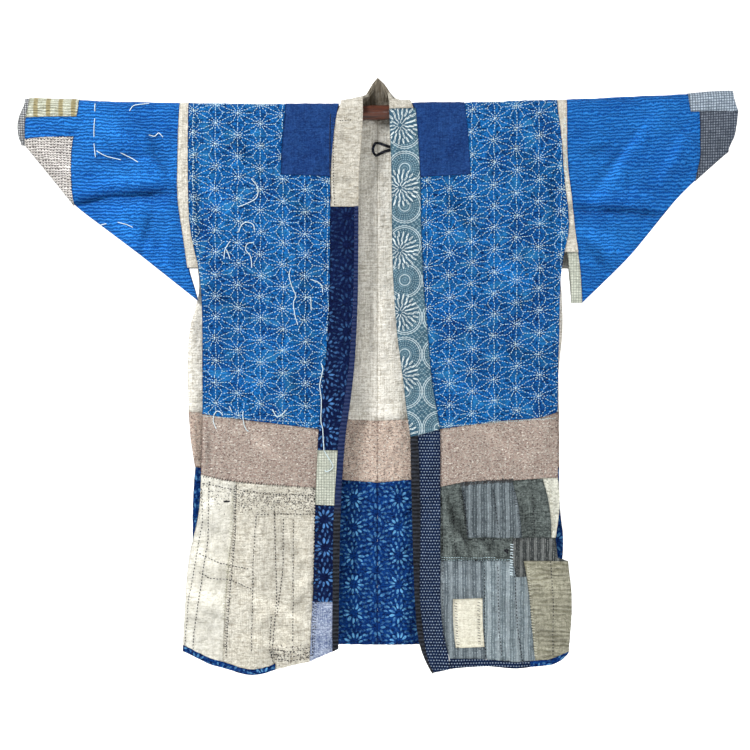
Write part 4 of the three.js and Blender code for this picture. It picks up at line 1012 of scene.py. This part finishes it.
# Each piece: subdivisions, the cut's width and length in millimetres, its area in square metres where
# it isn't a rectangle, and how strongly it puckers
PIECES = {
    "body_right": (3, 316, 1100, 0.2904, 1.3),
    "body_left": (3, 316, 1110, 0.2932, 1.3),
    "sleeve_right": (3, 620, 290, 0.1158, 0.8),
    "sleeve_left": (3, 650, 290, 0.1285, 0.8),
    "shoulder_patch_right": (3, 98, 250, None, 0.8),
    "shoulder_patch_left": (3, 98, 255, None, 0.8),
    "armhole_binding_right": (3, 36, 570, 0.0105, 0.8),
    "armhole_binding_left": (3, 36, 560, 0.0080, 0.8),
    "underarm_binding": (3, 26, 160, 0.0029, 0.8),
    "front_band_right": (3, 196, 122, 0.0206, 1.0),
    "front_band_left": (3, 200, 124, 0.0204, 1.0),
    "back_band_right": (2, 318, 119, 0.0318, 1.0),
    "back_band_left": (2, 306, 119, 0.0310, 1.0),
    "back_skirt_right": (2, 314, 299, None, 1.0),
    "back_skirt_left": (2, 311, 299, None, 1.0),
    "lining_linen_right": (2, 320, 495, None, 1.0),
    "lining_linen_left": (2, 317, 500, None, 1.0),
    "lining_mauve_right": (3, 318, 119, 0.0313, 1.0),
    "lining_mauve_left": (3, 306, 119, 0.0305, 1.0),
    "lining_stencil_right": (2, 314, 299, None, 1.0),
    "lining_stencil_left": (2, 311, 299, None, 1.0),
    "skirt_cream_light": (3, 90, 315, 0.0202, 1.2),
    "skirt_cream_grey": (3, 158, 315, 0.0451, 1.2),
    "hem_stencil_right": (3, 158, 14, None, 0.6),
    "collar_neck": (3, 60, 400, 0.0158, 0.8),
    "collar_right_indigo": (3, 48, 662, 0.0267, 0.8),
    "collar_right_chambray": (3, 40, 100, None, 0.8),
    "collar_binding_right": (3, 15, 746, None, 0.4),
    "collar_patch_check": (3, 38, 90, None, 0.6),
    "skirt_grey_green": (4, 186, 137, 0.0227, 1.4),
    "skirt_cream_side": (3, 30, 101, 0.0019, 1.0),
    "skirt_charcoal": (3, 98, 66, 0.0040, 1.0),
    "skirt_stripe_front": (3, 74, 166, None, 1.2),
    "skirt_stripe_middle": (3, 90, 170, None, 1.2),
    "skirt_taupe": (3, 82, 168, 0.0115, 1.0),
    "hem_dotted_left": (3, 130, 14, None, 0.6),
    "hem_stencil_left": (3, 70, 12, None, 0.6),
    "patch_stripe": (3, 102, 96, None, 1.0),
    "patch_cream": (3, 50, 82, None, 0.8),
    "collar_left_print": (3, 58, 546, None, 0.8),
    "collar_left_dotted": (3, 44, 408, None, 0.8),
    "collar_binding_left": (3, 17, 400, None, 0.4),
    "cuff_facing_right": (2, 142, 15, None, 0.6),
    "cuff_patch_yellow": (2, 86, 80, None, 0.6),
    "cuff_patch_speckled": (2, 90, 230, 0.0114, 0.6),
    "cuff_patch_grey": (2, 80, 88, None, 0.6),
    "cuff_patch_dark": (2, 75, 210, 0.0110, 0.6),
    "neck_loop": (3, 10, 92, 0.00045, 0.0),
}


def add_all_cloth():
    return {node: add_cloth(node, *values) for node, values in PIECES.items()}



# The rod

ROD_CUTS = 42
ROD_SIDES = 28
ROD_ROUNDING = 0.003
# How much its knots swell it, and what is taken off so that they stay inside its size
KNOT_HEIGHT = 0.00025
KNOT_ROOM = 0.0003


def add_rod():
    """A straight pole cut into rings, its ends rounded, then bowed and made a little knotty."""
    left, right = ROD_ENDS
    bpy.ops.object.select_all(action="DESELECT")
    bpy.ops.mesh.primitive_cylinder_add(
        vertices=ROD_SIDES, radius=ROD_RADIUS, depth=right - left,
        location=((left + right) / 2, 0, 0), rotation=(0, math.radians(90), 0),
    )
    piece = bpy.context.object
    piece.name = "rod_branch"
    bpy.ops.object.transform_apply(location=True, rotation=True, scale=True)
    bpy.ops.object.mode_set(mode="EDIT")
    for k in range(1, ROD_CUTS):
        bpy.ops.mesh.select_all(action="SELECT")
        x = left + (right - left) * k / ROD_CUTS
        bpy.ops.mesh.bisect(plane_co=(x, 0, 0), plane_no=(1, 0, 0))
    bpy.ops.object.mode_set(mode="OBJECT")
    bevel = piece.modifiers.new("rounded_ends", "BEVEL")
    bevel.width = ROD_ROUNDING
    bevel.segments = 3
    bevel.limit_method = "ANGLE"
    bevel.angle_limit = SHARP
    bpy.ops.object.modifier_apply(modifier=bevel.name)
    points = coordinates(piece.data)
    x, y, z = points.T
    turn = np.arctan2(z, y)
    knots = rolling(random_waves(11, 8, 0.05, 0.12), x, turn * 0.01)
    swell = 1 + (knots * KNOT_HEIGHT - KNOT_ROOM) / ROD_RADIUS
    moved = np.stack([x, y * swell, z * swell + rod_height(x)], axis=1)
    piece.data.vertices.foreach_set("co", moved.ravel())
    set_lay(piece.data, x, turn * ROD_RADIUS, x * 0 + 1, x * 0)
    dress(piece, FINISHES["rod_wood"], "rod_wood", SHARP)
    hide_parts("rod")


# Stitches, laid on the shells

# How far from the cloth a place is looked for, and how straight the face there must look out
LOOK_FROM = 0.1
LOOK_FACING = 0.3


class Ground:
    """The outer faces of some shells, to lay stitches on."""

    def __init__(self, *shells):
        points, faces = [], []
        for shell in shells:
            first = len(points)
            points += [v.co.copy() for v in shell.data.vertices]
            faces += [tuple(first + k for k in p.vertices) for p in shell.data.polygons]
        self.tree = BVHTree.FromPolygons(points, faces)

    def at(self, x, v):
        """The point at x and v along the cloth, and the way out of it, or nothing."""
        axis = rod_height(x)
        if 0 <= v <= ARC_LENGTH:
            turn = v / ARC_RADIUS
            out = Vector((0, -math.cos(turn), math.sin(turn)))
            start = Vector((x, 0, axis)) + out * LOOK_FROM
        else:
            side, drop = (-1, v) if v < 0 else (1, ARC_LENGTH - v)
            out = Vector((0, side, 0))
            level = drop + axis * float(smooth(1 + drop / SETTLE))
            start = Vector((x, side * LOOK_FROM, level))
        hit, normal, _, _ = self.tree.ray_cast(start, -out, LOOK_FROM)
        if hit is None or normal.dot(out) < LOOK_FACING:
            return None
        return hit, normal


def garment_ground(shells):
    """Everything but the lining."""
    return Ground(*(shell for node, shell in shells.items() if not node.startswith("lining")))


def model_stitch():
    """One stitch, one metre long and wide, as a three-sided prism: its ends, then its faces."""
    bpy.ops.object.select_all(action="DESELECT")
    turn = (0, math.radians(90), 0)
    bpy.ops.mesh.primitive_cylinder_add(vertices=3, radius=0.5, depth=1, rotation=turn)
    bpy.ops.object.transform_apply(location=True, rotation=True, scale=True)
    model = bpy.context.object
    low = min(v.co.z for v in model.data.vertices)
    high = max(v.co.z for v in model.data.vertices)
    points = [(v.co.x + 0.5, v.co.y, (v.co.z - low) / (high - low)) for v in model.data.vertices]
    faces = [tuple(p.vertices) for p in model.data.polygons]
    bpy.data.objects.remove(model)
    return points, faces


STITCH_POINTS, STITCH_FACES = model_stitch()
# A stitch is sunk into the cloth by this much, and none is longer than the limit
SUNK = 0.0003
LONGEST_STITCH = 0.016


def lay_stitches(name, ground, segments, width, height, thread_and_slot):
    """Copies of the stitch between pairs of places on the cloth, half sunk in it."""
    points, faces = [], []
    for start, end in segments:
        a, b = ground.at(*start), ground.at(*end)
        if a is None or b is None or (a[0] - b[0]).length > LONGEST_STITCH:
            continue
        along = b[0] - a[0]
        out = (a[1] + b[1]).normalized()
        side = along.normalized().cross(out)
        first = len(points)
        for t, across, up in STITCH_POINTS:
            place = a[0] + along * t + side * (across * width) + out * (up * (height + SUNK) - SUNK)
            points.append(tuple(place))
        faces += [tuple(first + k for k in face) for face in STITCH_FACES]
    mesh = bpy.data.meshes.new(name)
    mesh.from_pydata(points, [], faces)
    piece = bpy.data.objects.new(name, mesh)
    bpy.context.scene.collection.objects.link(piece)
    only(piece)
    bpy.ops.object.mode_set(mode="EDIT")
    bpy.ops.mesh.select_all(action="SELECT")
    bpy.ops.mesh.normals_make_consistent(inside=False)
    bpy.ops.object.mode_set(mode="OBJECT")
    dress(piece, *thread_and_slot)


def running_stitch(a, b, pitch, length, draw, stray=0.0002):
    """A running stitch from a to b on the cloth."""
    (ax, av), (bx, bv) = a, b
    whole = math.hypot(bx - ax, bv - av)
    count = max(1, round(whole / pitch))
    dx, dv = (bx - ax) / whole, (bv - av) / whole
    found = []
    for k in range(count):
        middle = (k + 0.5) * whole / count + draw.uniform(-1, 1) * stray
        half = length / 2 * draw.uniform(0.8, 1.15)
        off = draw.uniform(-1, 1) * stray
        x, v = ax + dx * middle - dv * off, av + dv * middle + dx * off
        found.append(((x - dx * half, v - dv * half), (x + dx * half, v + dv * half)))
    return found


# The hemp-leaf lattice: stars in columns, each column set down from the last. Near a star its main
# lines stop short of the middle, and the thin ones stop further out.
LEAF_COLUMN = 0.0375
LEAF_ROW = 0.036
LEAF_PITCH = 0.0046
LEAF_STITCH = 0.0026
LEAF_STRAY = 0.0014
LEAF_WIDTH = 0.0013
STAR_GAP = 0.0012
THIN_GAP = 0.0037
STAR_CROSS = 0.0014
STAR_WIDTH = 0.0023
LINE_STRAY = 0.0008
LEAF_HEIGHT = 0.0006


def shortened(a, b, gap):
    return a + (b - a) * (gap / (b - a).length)


def hemp_leaf(origin, drop, box, draw):
    """The hemp-leaf pattern's stitches, and those of its stars' middles, inside a box.

    The box is x low, x high, v low, v high.
    """
    x_low, x_high, v_low, v_high = box

    def star(i, j):
        """One star's middle, a little off its place, the same way each time."""
        stray = Vector((math.sin(12.9 * i + 78.2 * j), math.sin(39.3 * i + 11.1 * j))) * LEAF_STRAY
        return Vector(origin) + Vector((LEAF_COLUMN * i, -drop * i - LEAF_ROW * j)) + stray

    found, middles = [], []
    first_column = int((x_low - origin[0]) / LEAF_COLUMN) - 2
    last_column = int((x_high - origin[0]) / LEAF_COLUMN) + 2
    for i in range(first_column, last_column):
        top = origin[1] - drop * i
        first_row = int((top - v_high) / LEAF_ROW) - 2
        last_row = int((top - v_low) / LEAF_ROW) + 2
        for j in range(first_row, last_row):
            here, below = star(i, j), star(i, j + 1)
            beside, above = star(i + 1, j), star(i + 1, j - 1)
            lean = Vector((math.cos(5.3 * i + 2.9 * j), math.sin(5.3 * i + 2.9 * j))) * STAR_CROSS
            for arm in (lean, lean.orthogonal()):
                middles.append((tuple(here - arm), tuple(here + arm)))
            lines = []
            for end in (beside, below, above):
                lines.append((shortened(here, end, STAR_GAP), shortened(end, here, STAR_GAP)))
            for triangle in ((here, beside, above), (here, beside, below)):
                middle = (triangle[0] + triangle[1] + triangle[2]) / 3
                lines += [(shortened(corner, middle, THIN_GAP), middle) for corner in triangle]
            for a, b in lines:
                found += running_stitch(a, b, LEAF_PITCH, LEAF_STITCH, draw, LINE_STRAY)

    def inside(p):
        return x_low < p[0] < x_high and v_low < p[1] < v_high

    return tuple([s for s in kind if inside(s[0]) and inside(s[1])] for kind in (found, middles))


# Each half's lattice: where one star is, how far the next column drops, and its box across
LEAF_LAYOUT = {
    "right": ((-0.231, -0.0027), 0.019, (-0.33, 0.0)),
    "left": ((0.1226, -0.1299), 0.0148, (0.0, 0.33)),
}
# The boxes along the cloth, in front and behind
LEAF_HALVES = {"front": (-0.55, ARC_LENGTH / 2), "back": (ARC_LENGTH / 2, ARC_LENGTH + 0.52)}

def add_hemp_leaf(shells):
    draw = random.Random(17)
    for side, (origin, drop, across) in LEAF_LAYOUT.items():
        body = Ground(shells["body_" + side])
        patch = Ground(shells["shoulder_patch_" + side])
        for half, along in LEAF_HALVES.items():
            lines, middles = hemp_leaf(origin, drop, across + along, draw)
            kinds = (
                ("hemp_leaf", lines, LEAF_WIDTH, PALE_THREAD),
                ("stars", middles, STAR_WIDTH, WHITE_THREAD),
            )
            for kind, found, width, sewn in kinds:
                clear = [s for s in found if patch.at(*s[0]) is None and patch.at(*s[1]) is None]
                lay_stitches(f"{kind}_{half}_{side}", body, clear, width, LEAF_HEIGHT, sewn)


def on_cloth(x, z):
    """A place given in millimetres, seen from the front, as x and the way along the cloth."""
    x, z = x * MM, z * MM
    return x, z - float(rod_height(x) * smooth(1 + z / SETTLE))


def millimetre_rows(rows, pitch, length, draw, stray=0.0003):
    """Running stitches along lines of points given in millimetres, seen from the front."""
    found = []
    for row in rows:
        for a, b in zip(row, row[1:]):
            found += running_stitch(on_cloth(*a), on_cloth(*b), pitch, length, draw, stray)
    return found


def whip_stitches(rows, pitch, reach, slant, draw):
    """Short slanting stitches across lines of points given in millimetres, seen from the front."""
    found = []
    for (ax, az), (bx, bz) in (ends for row in rows for ends in zip(row, row[1:])):
        whole = math.hypot(bx - ax, bz - az)
        along = ((bx - ax) / whole, (bz - az) / whole)
        for k in range(max(1, round(whole / pitch))):
            t = min(1.0, (k + draw.uniform(0.3, 0.7)) * pitch / whole)
            x, z = ax + (bx - ax) * t, az + (bz - az) * t
            half = reach / 2 * draw.uniform(0.75, 1.2)
            lean = slant * half * draw.uniform(0.5, 1.4)
            dx = -along[1] * half + along[0] * lean
            dz = along[0] * half + along[1] * lean
            found.append((on_cloth(x - dx, z - dz), on_cloth(x + dx, z + dz)))
    return found


def specks(draw, count, place, spread, reach):
    """Tiny stitches strewn round a place, in millimetres."""
    found = []
    for _ in range(count):
        x = place[0] + draw.uniform(-1, 1) * spread[0]
        z = draw.gauss(place[1], spread[1])
        turn = draw.uniform(0, math.pi)
        half = draw.uniform(0.7, 1.2) * reach / 2
        dx, dz = math.cos(turn) * half, math.sin(turn) * half
        found.append((on_cloth(x - dx, z - dz), on_cloth(x + dx, z + dz)))
    return found


# Rows of dark running stitches, in millimetres
RIGHT_SKIRT_ROWS = (
    ((-279, -617), (-281, -718), (-294, -802), (-304, -869), (-307, -911)),
    ((-200, -676), (-205, -751), (-208, -903)),
    ((-170, -667), (-166, -819), (-175, -911)),
    ((-155, -681), (-156, -768), (-166, -844)),
    ((-138, -681), (-139, -903)),
    ((-200, -674), (-102, -673)),
    ((-296, -738), (-262, -755), (-242, -760), (-212, -765)),
    ((-296, -770), (-279, -780), (-242, -785), (-207, -799)),
    ((-234, -624), (-235, -701), (-244, -802), (-252, -914)),
    ((-292, -629), (-290, -684), (-301, -751), (-314, -819), (-320, -894)),
    ((-102, -629), (-104, -751), (-106, -911)),
    ((-290, -622), (-240, -632), (-180, -640), (-104, -642)),
    ((-175, -844), (-178, -903), (-170, -926)),
    ((-172, -900), (-140, -904), (-108, -896)),
    ((-172, -908), (-140, -912), (-108, -904)),
    ((-170, -916), (-140, -919), (-108, -911)),
)
LEFT_SKIRT_ROWS = (
    ((292, -751), (297, -819), (296, -916)),
    ((110, -640), (112, -760), (112, -900)),
    ((128, -660), (134, -752)),
    ((113, -748), (170, -752), (222, -748)),
    ((262, -640), (266, -708)),
    ((182, -760), (182, -860), (184, -920)),
    ((204, -760), (206, -868), (212, -922)),
    ((232, -770), (236, -860), (246, -926)),
    ((146, -632), (154, -708)),
    ((196, -632), (206, -708)),
    ((152, -716), (238, -716)),
)
# Outlines that are whipped with dark or pale thread
DARK_WHIPS = (
    ((-300, -608), (-240, -618), (-180, -624), (-104, -630)),
    ((-236, -624), (-237, -701), (-246, -802), (-254, -900)),
    ((140, -628), (147, -660), (153, -708)),
    ((227, -624), (236, -665), (244, -708)),
    ((144, -622), (226, -618)),
    ((133, -820), (135, -870), (138, -904)),
    ((172, -820), (172, -870), (174, -904)),
    ((-96, -660), (-98, -760), (-102, -860), (-106, -912)),
)
PALE_WHIPS = (
    ((-304, -8), (-306, -60), (-305, -120), (-303, -180), (-298, -240), (-290, -290)),
    ((316, -10), (318, -70), (316, -140), (312, -200), (310, -260)),
    ((-323, -720), (-330, -800), (-330, -900)),
)
CREAM_WHIPS = (
    ((290, -625), (296, -680), (300, -706)),
    ((-240, -640), (-246, -740), (-256, -850)),
    ((254, -758), (260, -830), (268, -912)),
)
BOLD_WHIPS = (((227, -722), (226, -778)),)
BLACK_DASH = (((-254, -652), (-246, -652)),)
PALE_ROWS = (
    ((-296, -509), (-200, -515), (-106, -521)),
    ((108, -527), (306, -512)),
    ((108, -749), (170, -751), (226, -749)),
    ((108, -745), (170, -747), (200, -746)),
)
COLLAR_ROWS = (
    ((-70, -10), (-71, -60), (-71, -110), (-69, -158)),
    ((-62, -16), (-40, -14)),
)
# A knot of dark thread beside the whipped edge
KNOT = (218, -735)
# The striped patch's rolled top edge
ROLLED_EDGE = (((141, -624), (160, -621), (200, -618), (228, -617)),)
# A painted shadow: a nearly unbroken line of dark thread where the neck's collar stands off the body
COLLAR_SHADOW_LINE = (((-76, -4), (-77, -40), (-77, -100), (-75, -150)),)
# Tiny darning stitches: how many, the middle of their area, its half width and spread, and their length
DARNING = (
    (520, (-168, -652), (64, 10), 1.5),
    (150, (-268, -640), (40, 12), 1.4),
    (130, (-142, -908), (34, 8), 1.8),
)


def add_rows(shells):
    draw = random.Random(23)
    garment = garment_ground(shells)

    def runs(rows, pitch, length, stray=0.0003):
        return millimetre_rows(rows, pitch, length, draw, stray)

    def whips(rows, pitch, reach, slant):
        return whip_stitches(rows, pitch, reach, slant, draw)

    # Name, stitches, their width and height, and the thread. The order is that of the random draws.
    kinds = (
        ("dark_rows", runs(RIGHT_SKIRT_ROWS + LEFT_SKIRT_ROWS, 0.0053, 0.0027, 0.0005),
         0.0019, 0.0005, DARK_THREAD),
        ("grey_specks", [s for area in DARNING for s in specks(draw, *area)],
         0.0014, 0.0004, GREY_THREAD),
        ("dark_whips", whips(DARK_WHIPS, 4.6, 4.4, 0.3) + specks(draw, 26, KNOT, (3, 2), 3.0),
         0.0012, 0.0005, DARK_THREAD),
        ("black_dash", runs(BLACK_DASH, 0.009, 0.009, 0), 0.003, 0.0006, DARK_THREAD),
        ("rolled_edge", whips(ROLLED_EDGE, 2.6, 6.0, 0.7), 0.0016, 0.0012, GREY_THREAD),
        ("pale_whips", runs(PALE_ROWS, 0.0042, 0.0026) + whips(PALE_WHIPS, 6.5, 4.2, 0.5),
         0.0011, 0.0006, PALE_THREAD),
        ("cream_whips", whips(CREAM_WHIPS, 4.4, 4.6, 0.3), 0.0018, 0.0007, CREAM_THREAD),
        ("bold_whips", whips(BOLD_WHIPS, 4.2, 5.0, 0.15), 0.0024, 0.0010, WHITE_THREAD),
        # The collar's stitches, with the painted shadow line beside it
        ("collar_stitches_and_shadow_line",
         runs(COLLAR_ROWS, 0.0046, 0.0022) + runs(COLLAR_SHADOW_LINE, 0.0050, 0.0052, 0.0001),
         0.0015, 0.0005, DARK_THREAD),
    )
    for name, found, width, height, sewn in kinds:
        lay_stitches(name, garment, found, width, height, sewn)


# Loose ends of white thread that lie on the cloth, as points in millimetres, seen from the front
LOOSE_THREADS = (
    ((-470, 14), (-470, 7), (-470, 0)),
    ((-470, -12), (-471, -28), (-471, -43)),
    ((-471, -54), (-470, -66), (-469, -76)),
    ((-467, -66), (-452, -74), (-427, -81)),
    ((-427, -69), (-413, -76), (-398, -85)),
    ((-464, -189), (-452, -187)),
    ((-432, -185), (-418, -189), (-407, -194)),
    ((-412, 1), (-405, 10), (-391, 13), (-380, 15)),
    ((-380, -39), (-370, -41), (-363, -36), (-356, -43)),
    ((-208, -113), (-198, -128), (-200, -145), (-218, -155), (-230, -160)),
    ((-230, -202), (-225, -190), (-215, -185), (-205, -190), (-203, -199)),
    ((-205, -219), (-215, -221), (-218, -231), (-210, -242), (-208, -261)),
    ((-244, -217), (-252, -231), (-254, -247)),
    ((-250, -231), (-244, -246)),
    ((-143, -264), (-145, -274), (-141, -291), (-134, -308), (-138, -321), (-136, -338), (-131, -357)),
    ((-108, -281), (-92, -289), (-89, -303)),
    ((-109, -310), (-108, -331)),
    ((-92, -421), (-89, -432), (-94, -457), (-91, -483), (-92, -516), (-89, -533), (-87, -567)),
    ((-87, -567), (-77, -583), (-72, -594), (-81, -602), (-86, -600)),
    ((-222, -501), (-222, -516), (-218, -530), (-213, -535)),
    ((-267, -531), (-272, -518), (-270, -505), (-263, -501), (-256, -508)),
    ((-245, -493), (-242, -501)),
    ((-173, -498), (-166, -510), (-156, -506), (-151, -499)),
)
THREAD_STEPS = 9
THREAD_RADIUS = 0.0007
# How high a thread lies, and how much higher its middle arches
THREAD_LIFT = 0.0005
THREAD_ARCH = 0.0007


def curve_through(points):
    """Points on a smooth curve through given ones."""
    padded = [points[0]] + list(points) + [points[-1]]
    found = []
    for a, b, c, d in zip(padded, padded[1:], padded[2:], padded[3:]):
        for k in range(THREAD_STEPS):
            t = k / THREAD_STEPS
            weights = (
                -0.5 * t + t * t - 0.5 * t ** 3,
                1 - 2.5 * t * t + 1.5 * t ** 3,
                0.5 * t + 2 * t * t - 1.5 * t ** 3,
                -0.5 * t * t + 0.5 * t ** 3,
            )
            found.append(tuple(sum(w * p[i] for w, p in zip(weights, (a, b, c, d))) for i in (0, 1)))
    return found + [tuple(points[-1])]


def add_loose_threads(shells):
    garment = garment_ground(shells)
    data = bpy.data.curves.new("loose_threads", "CURVE")
    data.dimensions = "3D"
    data.bevel_depth = THREAD_RADIUS
    data.bevel_resolution = 1
    draw = random.Random(31)
    for thread_points in LOOSE_THREADS:
        places = []
        line = curve_through(thread_points)
        for k, (x, z) in enumerate(line):
            found = garment.at(*on_cloth(x, z))
            if found:
                arch = THREAD_ARCH * math.sin(math.pi * k / len(line)) * draw.uniform(0.8, 1.2)
                places.append(found[0] + found[1] * (THREAD_LIFT + arch))
        if len(places) > 3:
            spline = data.splines.new("POLY")
            spline.points.add(len(places) - 1)
            for point, place in zip(spline.points, places):
                point.co = (*place, 1)
    piece = bpy.data.objects.new("loose_threads", data)
    bpy.context.scene.collection.objects.link(piece)
    data.use_fill_caps = True
    only(piece)
    bpy.ops.object.convert(target="MESH")
    dress(bpy.context.object, *WHITE_THREAD)


add_camera()
add_studio()
shells = add_all_cloth()
add_rod()
add_hemp_leaf(shells)
add_rows(shells)
add_loose_threads(shells)
